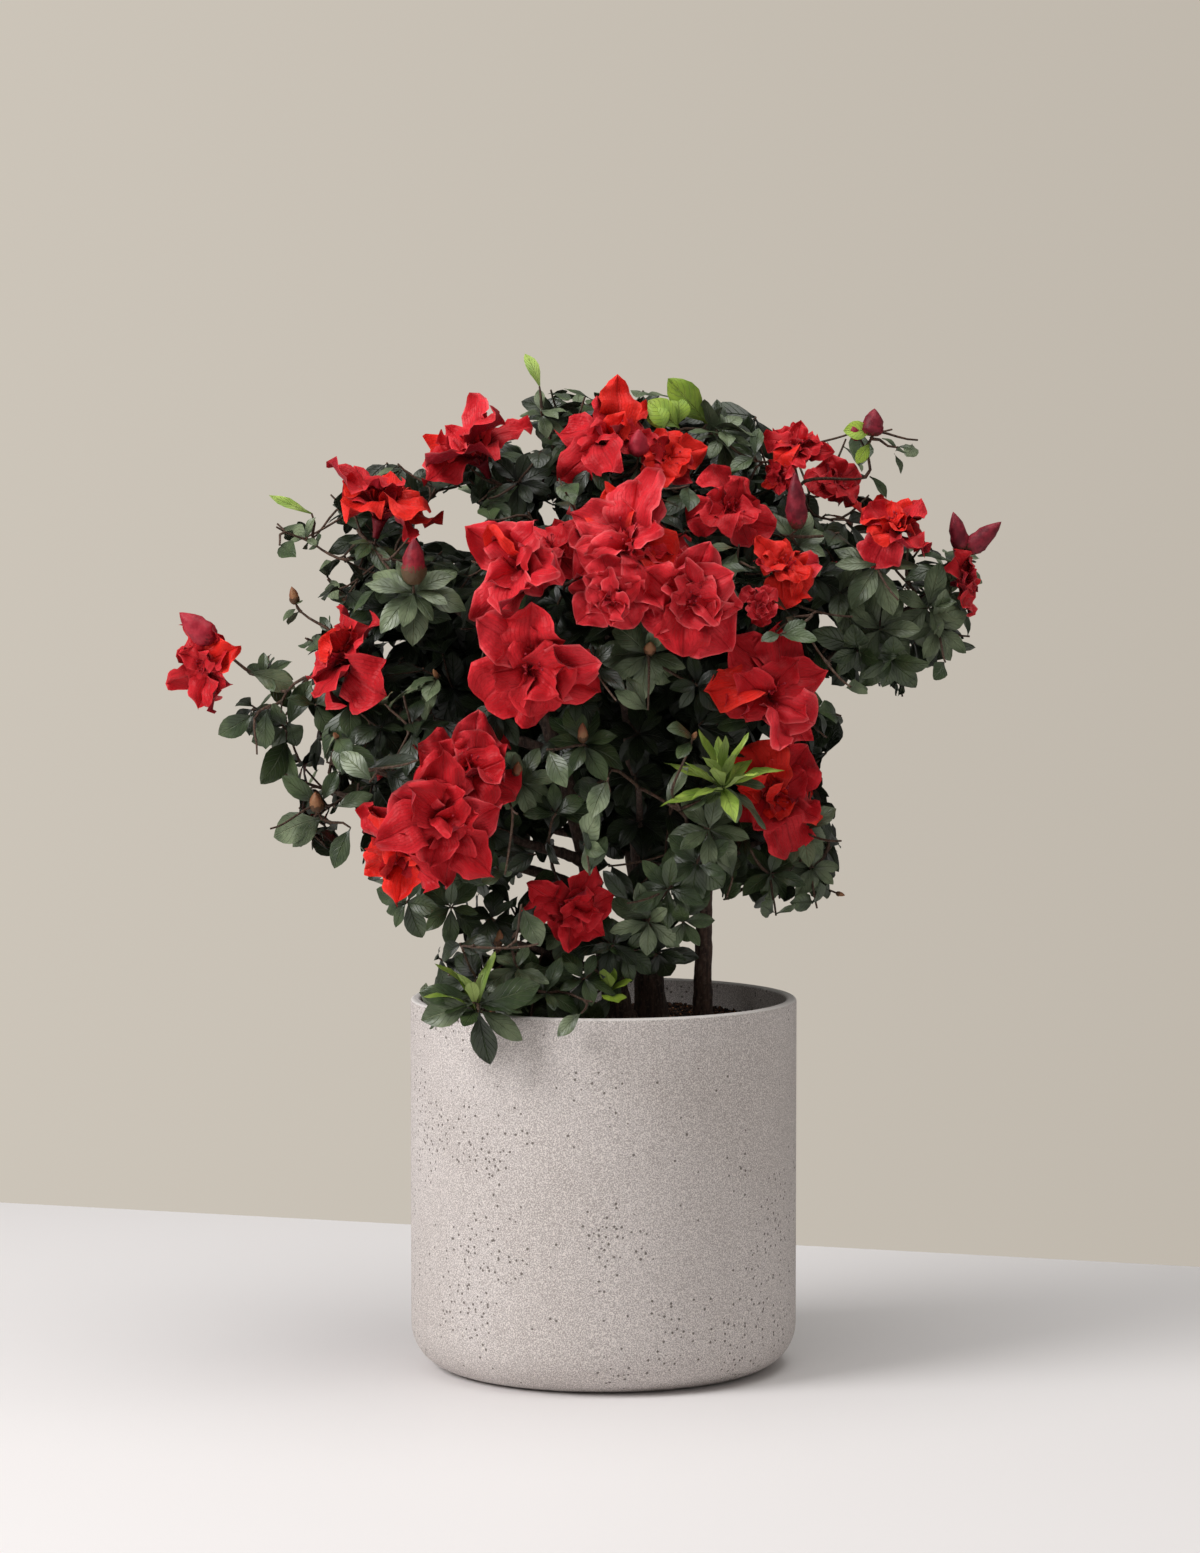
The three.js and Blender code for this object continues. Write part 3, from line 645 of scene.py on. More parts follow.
def seeded(seed):
    """A repeatable stream of numbers from 0 to 1, by a linear congruential rule, as the CAD source has it."""
    state = seed * 7919 + 12345

    def draw():
        nonlocal state
        state = (state * 1664525 + 1013904223) % WORD
        return state / WORD

    return draw


def smooth_path(corners, count):
    """Points spaced evenly along the Bezier curve that the corners steer."""
    t = np.linspace(0, 1, CURVE_STEPS)[:, None]
    level = [np.array(corner)[None, :] for corner in corners]
    while len(level) > 1:
        level = [a + (b - a) * t for a, b in zip(level, level[1:])]
    fine = level[0]
    run = np.concatenate([[0], np.cumsum(np.linalg.norm(np.diff(fine, axis=0), axis=1))])
    spaced = np.linspace(0, run[-1], count)
    return [Vector(p) for p in np.stack([np.interp(spaced, run, fine[:, k]) for k in range(3)], axis=1)]


def at_share(path, share):
    """The place and the heading that lie a share of the way along a path."""
    place = share * (len(path) - 1)
    i = min(int(place), len(path) - 2)
    return path[i].lerp(path[i + 1], place - i), (path[i + 1] - path[i]).normalized()


def square_to(direction):
    """Two directions square to a third."""
    other = UP if abs(direction.z) < 0.9 else Vector((1, 0, 0))
    across = direction.cross(other).normalized()
    return across, direction.cross(across).normalized()


# %% Stems and boughs
RING_GAP = 2.2 * MM
limbs = []  # each a path and its radii


def add_limb(corners, radius_at):
    count = max(4, int(sum((b - a).length for a, b in zip(corners, corners[1:])) / RING_GAP))
    path = smooth_path(corners, count)
    limbs.append((path, [radius_at(i / (count - 1)) for i in range(count)]))
    return path


def stem_radius(stem, along):
    """A stem's radius: it tapers evenly, and swells at its foot."""
    swelling = 1 + (stem["flare"] - 1) * math.exp(-along / FLARE_LENGTH)
    return (stem["radius"] + (stem["tip_radius"] - stem["radius"]) * along) * swelling * MM


for stem in STEMS.values():
    foot = Vector((*stem["foot"], SOIL_TOP / MM)) * MM
    corners = [foot, *(Vector(p) * MM for p in stem["lean"]), Vector(stem["tip"]) * MM]
    stem["path"] = add_limb(corners, lambda along: stem_radius(stem, along))

for mass in MASSES:
    mass["centre"], mass["span"] = Vector(mass["at"]) * MM, Vector(mass["reach"]) * MM
    mass["box"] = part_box("foliage_" + mass["name"])


def pull(mass, point):
    """How far a point is from a mass, squared, and less so for a larger mass."""
    size = sum(mass["span"]) / 3
    return (point - mass["centre"]).length_squared - size * size * SPACE["weight"]


def owns(mass, point, margin):
    """Whether a point is on a mass's side of the plane between it and each neighbour."""
    own = pull(mass, point)
    others = (other for other in MASSES if other is not mass)
    return all(pull(o, point) - own > 2 * margin * (o["centre"] - mass["centre"]).length for o in others)


def share_of(mass, point):
    """How far out a point is in a mass: 0 in the middle, 1 at the end of its reach."""
    return Vector(part / span for part, span in zip(point - mass["centre"], mass["span"])).length


def entry_of(mass, fork):
    """Where a bough enters its mass: as far out as the mass owns the space."""
    back = (fork - mass["centre"]).normalized() * min(mass["span"])
    share, margin = SPACE["entry"], SPACE["entry_margin"]
    while share > SPACE["deepest_entry"] and not owns(mass, mass["centre"] + back * share, margin):
        share -= SPACE["entry_step"]
    return mass["centre"] + back * share


def taper(foot, tip):
    return lambda along: foot + (tip - foot) * along


for mass in MASSES:
    stem = STEMS[mass["stem"]]
    fork, way = at_share(stem["path"], mass["fork"])
    thick = min(BOUGH["thickest"] * MM, stem_radius(stem, mass["fork"]) * BOUGH["of_stem"])
    entry = entry_of(mass, fork)
    run = (entry - fork).length
    lift = fork + way * run * BOUGH["rise"]
    middle = fork.lerp(entry, BOUGH["bend"]) - UP * run * BOUGH["sag"]
    path = add_limb([fork, lift, middle, entry], taper(thick, BOUGH["tip"] * MM))
    bend = entry + at_share(path, 1)[1] * (entry - mass["centre"]).length * BOUGH["inner_bend"]
    mass["wood"] = add_limb([entry, bend, mass["centre"]], taper(BOUGH["tip"] * MM, BOUGH["inner_tip"] * MM))
print("limbs", len(limbs))

# %% Gaps and outline
VIEW_PLANE = -60  # the gaps and the outline were measured on the upright plane at this depth
HOLLOW_DEPTH = 0  # leaves behind this depth may stand in a hollow
SKY_GAPS = [  # middle (x, z) and radius of each gap between the leaves
    (-104, 546, 12), (-94, 556, 12), (-88, 546, 12), (-78, 538, 8), (-36, 554, 6), (-50, 602, 8),
    (-24, 347, 7), (-23, 333, 6), (-47, 344, 4), (-47, 328, 5), (-54, 315, 5), (11, 340, 3), (3, 323, 5),
    (15, 325, 4), (21, 345, 3), (105, 410, 6), (-134, 467, 4), (-137, 382, 4), (134, 580, 9), (136, 568, 7),
    (111, 590, 6), (140, 558, 6), (157, 596, 4), (181, 590, 5), (172, 536, 3), (166, 516, 4), (184, 513, 4),
    (137, 483, 6), (141, 444, 6), (142, 390, 6), (-165, 514, 8), (-168, 530, 6), (-186, 526, 4),
    (-176, 534, 5), (-172, 492, 5), (-222, 438, 6), (-208, 428, 3), (-192, 424, 5), (-188, 410, 7),
    (-180, 388, 5), (-171, 362, 5), (-156, 358, 6), (-196, 500, 4),
]
CROWN_OUTLINE = [  # the crown's leaves end at this line (x, z), clockwise from the lowest leaf at the left
    (-122, 252), (-106, 263), (-112, 277), (-98, 284), (-106, 298), (-136, 292), (-140, 310), (-154, 322),
    (-160, 344), (-176, 320), (-186, 338), (-206, 340), (-219, 347), (-202, 360), (-198, 370), (-204, 384),
    (-210, 368), (-219, 390), (-222, 408), (-247, 410), (-238, 430), (-234, 452), (-222, 464), (-204, 463),
    (-194, 449), (-186, 453), (-182, 462), (-197, 468), (-188, 481), (-178, 480), (-178, 492), (-188, 494),
    (-186, 504), (-176, 507), (-180, 522), (-200, 526), (-208, 536), (-206, 546), (-192, 553), (-178, 550),
    (-176, 566), (-140, 586), (-116, 580), (-112, 600), (-88, 614), (-70, 600), (-56, 604), (-56, 622),
    (-50, 632), (-38, 634), (-24, 636), (-12, 632), (8, 630), (24, 635), (38, 632), (72, 628), (81, 627),
    (86, 615), (98, 613), (106, 604), (120, 601), (140, 600), (158, 607), (176, 606), (186, 609),
    (202, 602), (202, 588), (196, 578), (184, 582), (182, 574), (196, 570), (194, 562), (178, 562),
    (180, 552), (214, 532), (228, 530), (236, 534), (252, 510), (240, 498), (232, 484), (238, 466),
    (222, 460), (214, 449), (202, 451), (186, 432), (176, 443), (162, 434), (150, 446), (142, 436),
    (158, 424), (152, 412), (142, 418), (146, 402), (138, 390), (147, 379), (140, 370), (149, 364),
    (151, 346), (153, 330), (148, 310), (132, 300), (112, 297), (98, 299), (90, 311), (82, 303), (66, 303),
    (58, 284), (56, 268), (42, 258), (26, 252), (10, 238), (-8, 226), (-18, 221), (-30, 217), (-44, 229),
    (-58, 221), (-70, 231), (-96, 239), (-112, 235),
]
HOLLOWS = [  # middle (x, z) and radius of each dark place where the leaves stand far back
    (26, 408, 17), (24, 380, 18), (16, 354, 12), (-92, 466, 13), (-90, 442, 14), (-126, 480, 9),
    (92, 484, 11), (84, 452, 9), (40, 440, 9), (-44, 416, 9), (112, 562, 7), (-62, 576, 8), (-10, 440, 8),
]


def in_view(point):
    """Where the camera sees a point on the measured plane, in millimetres across and up."""
    share = (VIEW_PLANE * MM - CAMERA_PLACE.y) / (point.y - CAMERA_PLACE.y)
    seen = CAMERA_PLACE + (point - CAMERA_PLACE) * share
    return seen.x / MM, seen.z / MM


def in_circles(spot, circles):
    return any(math.hypot(spot[0] - x, spot[1] - z) < radius for x, z, radius in circles)


def inside_line(spot, line):
    """Whether a spot is inside a closed line: a ray from it crosses the line an odd number of times."""
    inside = False
    for (x0, z0), (x1, z1) in zip(line, line[1:] + line[:1]):
        if (z0 > spot[1]) != (z1 > spot[1]) and spot[0] < x0 + (spot[1] - z0) * (x1 - x0) / (z1 - z0):
            inside = not inside
    return inside


print(len(SKY_GAPS), "gaps,", len(CROWN_OUTLINE), "points of outline,", len(HOLLOWS), "hollows")

# %% Blooms
THROAT, TUBE_LONG = 0.5, 0.36  # in radii: how far behind the middle the petals' feet lie, and the tube behind
BLOOM_MIX = (0.05, 0.15, "open")  # scarlet share, rose share and form, where a bloom's row says no more
blossoms = []


def ruled_blooms(mass, count):
    """Blooms that the rule sets on the outer side of a mass that the photograph hides."""
    draw = mass["draw"]
    outward = (mass["centre"] - CROWN_HEART).normalized()
    right = square_to(outward)[0]
    found = []
    for i in range(count):
        side = Quaternion(outward, (i + draw()) / count * FULL_TURN) @ right
        face = (outward + side * RULED_BLOOM["aside"] + UP * RULED_BLOOM["lift"]).normalized()
        at = Vector(f * s for f, s in zip(face, mass["span"])) * RULED_BLOOM["outward"] + mass["centre"]
        wide = RULED_BLOOM["narrowest"] + RULED_BLOOM["vary"] * draw()
        edges = (in_view(at + Vector((dx, 0, dz)) * wide * MM / 2) for dx in (-1, 0, 1) for dz in (-1, 0, 1))
        if at.y > RULED_BLOOM["behind"] * MM and all(inside_line(edge, CROWN_OUTLINE) for edge in edges):
            found.append((at / MM, face, wide))
    return found


for number, mass in enumerate(MASSES):
    mass["draw"] = seeded(number + 1)
    listed = ruled_blooms(mass, mass["blooms"]) if isinstance(mass["blooms"], int) else mass["blooms"]
    for at, face, wide, *mix in listed:
        scarlet, rose, form = (*mix, *BLOOM_MIX[len(mix):])
        blossoms.append({"at": Vector(at) * MM, "face": Vector(face).normalized(), "radius": wide / 2 * MM,
                         "mass": mass, "scarlet": scarlet, "rose": rose, "form": form})
print("blooms", len(blossoms))

# %% [markdown]
# ## Where rosettes may stand
#
# In the photograph the wall shows through the crown in a few places, and the blooms stand clear of the
# leaves. A finished crown could be thinned by hand. Here a rosette that would close such a gap or cover a
# bloom isn't grown, so that the leaves that are left still stand on their own twigs.

# %% Gaps and clear places
CLEARANCE = 3 * MM
BOX_SPARE = 5 * MM
BLOOM_ROOM = {"behind": -0.35, "ahead": 1.6, "aside": 0.9, "sight": 0.85}  # in the bloom's radii
DEEPEST_SHOWN = 20 * MM  # a bloom behind this depth may be covered from the camera


def beside_sight(point, target):
    """How far a point is from the line from the camera to a target."""
    way = (target - CAMERA_PLACE).normalized()
    away = point - CAMERA_PLACE
    return (away - way * away.dot(way)).length


def in_gap(point):
    """Whether a leaf here would close a gap."""
    return in_circles(in_view(point), SKY_GAPS)


def in_open_air(point):
    """Whether a leaf here would close a gap, fill a hollow or stand outside the crown's outline."""
    spot = in_view(point)
    if in_gap(point) or not inside_line(spot, CROWN_OUTLINE):
        return True
    return point.y < HOLLOW_DEPTH * MM and in_circles(spot, HOLLOWS)


def covers_bloom(point):
    """Whether a point is inside a bloom, or between the camera and its face."""
    room = BLOOM_ROOM
    for bloom in blossoms:
        at, radius = bloom["at"], bloom["radius"]
        away = point - at
        ahead = away.dot(bloom["face"])
        aside = (away - bloom["face"] * ahead).length
        if room["behind"] * radius < ahead < room["ahead"] * radius and aside < radius * room["aside"]:
            return True
        if at.y < DEEPEST_SHOWN and point.y < at.y and beside_sight(point, at) < radius * room["sight"]:
            return True
    return False


def covers_shown(point):
    """Whether a point hides a shoot or a bud that the photograph shows."""
    return any(point.y < at.y and beside_sight(point, at) < width for at, width in shown)


def beyond_reach(mass, point):
    """Whether a point is outside the mass's reach, or outside the box of its CAD node by more than a hair."""
    low, high = mass["box"]
    in_box = all(l - BOX_SPARE < p < h + BOX_SPARE for l, p, h in zip(low, point, high))
    return share_of(mass, point) > 1 or not in_box


def in_planter(point):
    """Whether a point is in the planter's wall, in the soil, or under the rim outside by less than a gap."""
    out = math.hypot(point.x, point.y)
    if out < POT_RADIUS - WALL_THICK - CLEARANCE:
        return point.z < SOIL_TOP + CLEARANCE
    return point.z < POT_HEIGHT + CLEARANCE and out < POT_RADIUS + CLEARANCE


print("clear of the planter by", CLEARANCE / MM, "mm")

# %% Shoots and buds that the photograph shows
# Each shoot: mass, place, axis, how many leaves, their length, inner and outer opening in degrees, kind, and
# whether its leaves stand before the blooms
# A deep kind is painted shade, for shoots in the crown's shade; a sage kind is painted light and sheen, for
# lit shoots.
SHOOTS = [
    ("crown_top", (-41, -14, 633), (-0.28, 0, 1), 1, 36, 2, 2, "young"),
    ("crown_top", (66, -20, 609), (-0.65, -0.35, 0.8), 1, 62, 2, 2, "lime"),
    ("crown_top", (48, -36, 606), (-0.75, -0.1, 0.62), 1, 42, 2, 2, "lime"),
    ("crown_top", (47, -34, 608), (0.02, -0.1, 1), 1, 32, 2, 2, "lime"),
    ("crown_top", (38, -38, 603), (-0.35, -0.1, 0.8), 1, 30, 2, 2, "lime"),
    ("crown_top", (70, -14, 605), (0.15, -0.3, 1), 2, 28, 4, 20, "sage"),
    ("crown_right", (72, -20, 606), (0.8, -0.4, 0), 3, 42, 8, 34, "sage"),
    ("crown_right", (172, -24, 604), (-1, -0.1, 0.05), 1, 36, 2, 2, "lime"),
    ("crown_right", (170, -24, 597), (-0.6, -0.1, -0.75), 1, 20, 2, 2, "lime"),
    ("left_high", (-186, -30, 552), (-0.87, 0, 0.5), 1, 40, 2, 2, "young"),
    ("low_left", (-80, -128, 250), (-0.15, -0.25, 0.95), 6, 40, 6, 34, "young"),
    ("low_left", (4, -88, 254), (0.1, -0.3, 0.9), 5, 24, 15, 60, "lime"),
    ("front_centre", (74, -122, 385), (-0.08, -0.5, 0.85), 15, 47, 8, 68, "young", "before"),
    ("front_centre", (76, -110, 386), (0.05, -0.55, 0.6), 9, 38, 74, 118, "sage", "before"),
    ("front_centre", (66, -106, 356), (0, -0.75, 0.1), 9, 34, 62, 116, "sage"),
    ("front_centre", (58, -104, 334), (-0.1, -0.75, -0.1), 9, 34, 60, 116, "green"),
    ("front_centre", (40, -100, 318), (-0.2, -0.7, -0.1), 9, 33, 60, 114, "green"),
    ("front_centre", (50, -92, 296), (0, -0.7, -0.4), 8, 30, 50, 110, "green"),
    ("front_centre", (28, -92, 296), (-0.1, -0.7, -0.3), 8, 30, 55, 112, "sage"),
    ("low_left", (34, -74, 274), (0, -0.6, -0.4), 8, 27, 50, 110, "deep"),
    ("low_left", (14, -84, 276), (0, -0.7, -0.1), 8, 26, 60, 112, "green"),
    ("front_centre", (22, -36, 412), (0, -0.9, 0.2), 9, 28, 60, 112, "deep"),
    ("front_centre", (20, -38, 384), (0.1, -0.9, 0.1), 9, 28, 60, 112, "deep"),
    ("front_centre", (23, -38, 356), (-0.1, -0.9, 0.1), 9, 28, 60, 112, "deep"),
    ("front_centre", (24, -36, 330), (0, -0.9, 0), 9, 28, 60, 112, "deep"),
    ("front_centre", (-12, -122, 410), (-0.05, -0.9, 0.25), 9, 33, 68, 102, "green"),
    ("front_centre", (-52, -112, 386), (-0.1, -0.9, 0.15), 9, 30, 66, 102, "sage"),
    ("front_centre", (-30, -112, 366), (0.1, -0.9, 0), 8, 30, 62, 104, "green"),
    ("front_bouquet", (27, -120, 465), (0.05, -0.9, -0.2), 10, 33, 66, 102, "sage"),
    ("front_bouquet", (-18, -120, 440), (0, -0.7, 0.2), 7, 24, 60, 112, "deep"),
    ("front_bouquet", (58, -116, 446), (0.1, -0.7, 0), 7, 26, 60, 112, "deep"),
    ("left_high", (-118, -104, 504), (0.02, -0.9, 0.35), 12, 34, 66, 100, "sage", "before"),
    ("left_high", (-146, -64, 534), (-0.1, -0.6, 0.6), 9, 26, 62, 110, "green"),
    ("left_high", (-190, -30, 537), (-0.4, -0.5, 0.4), 7, 19, 60, 112, "sage"),
    ("left_high", (-162, -52, 524), (0, -0.5, 0.6), 7, 19, 60, 112, "deep"),
    ("left_mid", (-174, -40, 476), (-0.7, -0.3, 0.2), 4, 22, 50, 100, "green"),
    ("left_mid", (-160, -58, 434), (0, -0.9, 0.3), 9, 36, 66, 104, "green"),
    ("left_mid", (-223, -28, 424), (-0.85, -0.1, -0.53), 1, 40, 2, 2, "green"),
    ("left_mid", (-215, -30, 427), (-0.08, -0.1, -1), 1, 42, 2, 2, "green"),
    ("left_mid", (-206, -30, 425), (0.28, -0.1, -1), 1, 48, 2, 2, "sage"),
    ("left_mid", (-226, -28, 451), (0.93, -0.1, -0.36), 1, 46, 2, 2, "sage"),
    ("left_mid", (-218, -22, 448), (-0.2, -0.8, 0.3), 9, 26, 66, 104, "green"),
    ("left_low", (-226, -18, 426), (-0.5, -0.6, -0.3), 7, 26, 50, 100, "deep"),
    ("left_mid", (-140, -70, 418), (0, -0.7, 0.4), 9, 27, 60, 112, "deep"),
    ("left_mid", (-196, -32, 494), (-0.3, -0.3, 0.8), 5, 16, 60, 110, "sage"),
    ("left_low", (-204, -20, 414), (-0.2, -0.7, -0.3), 8, 30, 54, 104, "green"),
    ("left_low", (-184, -30, 430), (0, -0.8, 0), 7, 27, 60, 104, "green"),
    ("left_low", (-204, -16, 402), (-0.1, -0.4, -0.9), 3, 34, 8, 30, "green"),
    ("left_low", (-182, -26, 357), (-1, -0.1, -0.27), 1, 54, 2, 2, "sage"),
    ("left_low", (-181, -26, 356), (-0.75, -0.1, -0.66), 1, 42, 2, 2, "sage"),
    ("left_low", (-182, -26, 366), (-0.8, -0.1, 0.6), 1, 38, 2, 2, "green"),
    ("left_low", (-180, -26, 368), (0.45, -0.1, 0.9), 1, 36, 2, 2, "green"),
    ("left_low", (-172, -26, 364), (0.9, -0.1, 0.4), 1, 34, 2, 2, "sage"),
    ("left_low", (-162, -28, 351), (-0.46, -0.1, -0.89), 1, 50, 2, 2, "green"),
    ("front_left_low", (-66, -112, 432), (-0.2, -0.7, 0.3), 7, 24, 60, 112, "deep"),
    ("front_left_low", (-124, -90, 308), (-0.3, -0.7, -0.3), 8, 28, 55, 108, "green"),
    ("low_left", (-96, -96, 306), (-0.1, -0.75, 0), 8, 28, 60, 110, "green"),
    ("low_left", (-70, -98, 300), (-0.1, -0.7, 0.3), 8, 28, 60, 110, "deep"),
    ("low_left", (-79, -122, 248), (0, -0.5, 0.8), 6, 40, 56, 80, "green"),
    ("low_left", (-81, -130, 253), (-1, -0.1, 0.1), 1, 50, 2, 2, "green"),
    ("low_left", (-81, -132, 250), (-0.92, -0.1, -0.28), 1, 48, 2, 2, "sage"),
    ("low_left", (-77, -132, 246), (0.74, -0.1, -0.62), 1, 52, 2, 2, "sage"),
    ("low_left", (-77, -130, 249), (1, -0.1, 0.22), 1, 50, 2, 2, "green"),
    ("low_left", (-77, -138, 246), (0.12, -0.1, -1), 1, 48, 2, 2, "deep"),
    ("low_left", (-36, -108, 254), (0.1, -0.7, 0.5), 9, 30, 64, 112, "green"),
    ("low_left", (-54, -110, 270), (0, -0.7, 0.5), 8, 28, 60, 110, "sage"),
    ("low_left", (-12, -98, 262), (0.1, -0.75, 0.3), 9, 28, 60, 112, "green"),
    ("low_left", (6, -92, 282), (0.2, -0.75, 0.2), 8, 26, 60, 112, "deep"),
    ("right_far", (222, -6, 522), (0.3, -0.4, 0.7), 9, 32, 62, 118, "green"),
    ("right_far", (174, -48, 520), (0, -0.85, 0.35), 9, 38, 66, 100, "sage"),
    ("right_far", (150, -36, 502), (-0.2, -0.8, 0.4), 9, 32, 62, 108, "sage"),
    ("right_far", (208, -24, 492), (0.2, -0.85, 0.1), 9, 34, 60, 104, "sage"),
    ("right_far", (176, -34, 478), (0, -0.85, -0.1), 9, 34, 60, 104, "sage"),
    ("right_far", (200, -8, 468), (0.1, -0.6, -0.4), 7, 28, 50, 110, "deep"),
    ("right_far", (184, -28, 458), (0.1, -0.5, -0.7), 8, 31, 34, 76, "green"),
    ("right_far", (162, -30, 464), (-0.1, -0.6, -0.55), 8, 30, 42, 90, "green"),
    ("right_far", (214, -18, 478), (0.3, -0.55, -0.5), 8, 31, 40, 90, "sage"),
    ("right_low", (128, -44, 350), (0.2, -0.9, 0.2), 9, 30, 66, 104, "sage"),
    ("right_low", (106, -56, 324), (0, -0.8, 0.1), 9, 28, 66, 114, "green"),
    ("right_low", (134, -38, 326), (0.4, -0.7, 0), 9, 26, 60, 112, "sage"),
    ("right_low", (134, -14, 398), (0.6, -0.5, 0.2), 6, 20, 60, 110, "deep"),
    ("crown_right", (122, -56, 532), (0, -0.9, 0.3), 10, 33, 66, 104, "sage"),
    ("crown_right", (134, -44, 512), (0, -0.75, 0.2), 8, 26, 60, 112, "deep"),
    ("crown_right", (76, -26, 604), (0.2, -0.6, 0.8), 9, 30, 60, 112, "sage"),
    ("crown_right", (96, -34, 588), (0.1, -0.7, 0.6), 9, 30, 62, 112, "green"),
    ("crown_right", (188, -14, 594), (0.3, -0.4, 0.6), 6, 16, 55, 105, "green"),
    ("crown_right", (170, -20, 578), (0, -0.6, 0.5), 6, 18, 60, 110, "green"),
    ("crown_top", (-40, -16, 617), (-0.1, -0.55, 0.7), 9, 22, 62, 112, "sage"),
    ("crown_top", (-24, -18, 596), (0, -0.7, 0.4), 8, 24, 62, 112, "green"),
    ("crown_top", (22, -56, 586), (0, -0.75, 0.5), 9, 27, 66, 114, "sage"),
    ("crown_top", (-8, -58, 582), (-0.1, -0.75, 0.3), 8, 25, 62, 112, "deep"),
    ("crown_top", (-54, -40, 572), (0, -0.75, 0.2), 8, 26, 60, 112, "deep"),
]
# Each bud: mass, foot, direction, length, width, kind
BUDS = [
    ("left_high", (-118, -108, 508), (0.02, -0.15, 1), 30, 14, "cupped"),
    ("crown_right", (171, -22, 601), (0.1, -0.1, 1), 18, 13, "wine"),
    ("crown_right", (164, -20, 599), (-0.5, -0.2, 0.8), 12, 8, "wine"),
    ("right_far", (231, -4, 527), (-0.25, -0.1, 1), 27, 11, "wine"),
    ("right_far", (233, -4, 527), (0.75, -0.1, 0.65), 30, 12, "wine"),
    ("crown_right", (122, -62, 542), (-0.05, -0.2, 1), 37, 12, "wine"),
    ("front_bouquet", (28, -124, 466), (0.1, -0.6, 0.7), 10, 7, "scale"),
    ("front_centre", (-13, -124, 411), (0, -0.4, 0.9), 14, 6, "scale"),
    ("left_low", (-183, -26, 361), (-0.1, -0.3, 0.9), 14, 9, "scale"),
    ("crown_top", (22, -60, 588), (0, -0.3, 0.9), 18, 12, "crimson"),
    ("left_mid", (-196, -32, 494), (-0.25, -0.1, 1), 12, 6, "scale"),
    ("low_left", (-66, -100, 282), (0.1, -0.4, 0.9), 12, 6, "scale"),
    ("left_mid", (-249, -26, 470), (-0.75, -0.1, 0.65), 29, 15, "crimson"),
    ("front_left_low", (-54, -115, 389), (0.1, -0.5, 0.8), 12, 6, "scale"),
]
ROOM = {"shoot": 0.55, "bud": 0.6}  # kept clear round a shown shoot and a shown bud, over its length
shown = [(Vector(at) * MM, long * ROOM["shoot"] * MM) for _, at, _, _, long, *_ in SHOOTS]
shown += [((Vector(foot) + Vector(way).normalized() * long / 2) * MM, long * ROOM["bud"] * MM)
          for _, foot, way, long, *_ in BUDS]
print(len(SHOOTS), "shoots and", len(BUDS), "buds are placed one by one")

# %% Heads of twigs
MAIN_APART, OUTER_APART, INNER_APART, OUTER_SHELL = (n * MM for n in (24, 21, 28, 34))
MAIN_SHARES, FINE_SHARES = (0.35, 0.85), (0.2, 0.88)  # how far out in its mass a head may stand
MAIN_TRIES, FINE_TRIES = 60, 1500  # for each whorl, and in each mass
CELL = 30 * MM  # heads are found again by the box they stand in
heads, cells = [], {}


def cell_of(point):
    """The box that a point is in."""
    return tuple(int(part // CELL) for part in point)


def is_outer(point):
    """Whether one step outwards leaves every mass."""
    step = (point - CROWN_HEART).normalized() * OUTER_SHELL
    return all(share_of(mass, point + step) > 1 for mass in MASSES)


def add_head(at, mass, **more):
    """Notes a head, and what is known of its twig and its leaves."""
    heads.append({"at": at, "mass": mass, "outer": is_outer(at), **more})
    cells.setdefault(cell_of(at), []).append(at)


def crowded(point, gap):
    """Whether a head is nearer than a gap."""
    x, y, z = cell_of(point)
    near = (cells.get((x + i, y + j, z + k), ()) for i in (-1, 0, 1) for j in (-1, 0, 1) for k in (-1, 0, 1))
    return any((other - point).length < gap for box in near for other in box)


def head_place(mass, nearest, furthest):
    """A place at random in a mass, from one share of its reach to another."""
    draw = mass["draw"]
    z = 2 * draw() - 1
    turn = draw() * FULL_TURN
    way = Vector((math.sqrt(1 - z * z) * math.cos(turn), math.sqrt(1 - z * z) * math.sin(turn), z))
    share = nearest + (furthest - nearest) * draw()
    return Vector(w * s for w, s in zip(way, mass["span"])) * share + mass["centre"]


def free_at(spot, gap):
    """Whether the rule may set a head here."""
    return not (crowded(spot, gap) or in_open_air(spot) or covers_bloom(spot) or covers_shown(spot)
                or in_planter(spot))


print("heads stand", OUTER_APART / MM, "to", INNER_APART / MM, "mm apart")


# %% Heads in the heart of the crown, the shown ones, and those that the rule finds
HEART = {"across": (-150, 151), "up": (340, 606), "back": (24, 60), "apart": 24, "loose": 12}
# Every rosette in the heart is of deep leaves: a dark layer of painted shade in the middle of the crown.
HEART_HEAD = {"kind": "deep", "count": 10, "long": 36 * MM, "open": (40, 105)}
FACE_ON = Vector((0, -1, 0.25)).normalized()
draw = seeded(55)
for x in range(*HEART["across"], HEART["apart"]):
    for z in range(*HEART["up"], HEART["apart"]):
        back = HEART["back"][0] + (HEART["back"][1] - HEART["back"][0]) * draw()
        spot = Vector((x + HEART["loose"] * draw(), back, z + HEART["loose"] * draw())) * MM
        if not in_open_air(spot):
            nearest = min(MASSES, key=lambda mass: share_of(mass, spot))
            add_head(spot, nearest, main=False, rule="heart", axis=FACE_ON, **HEART_HEAD)

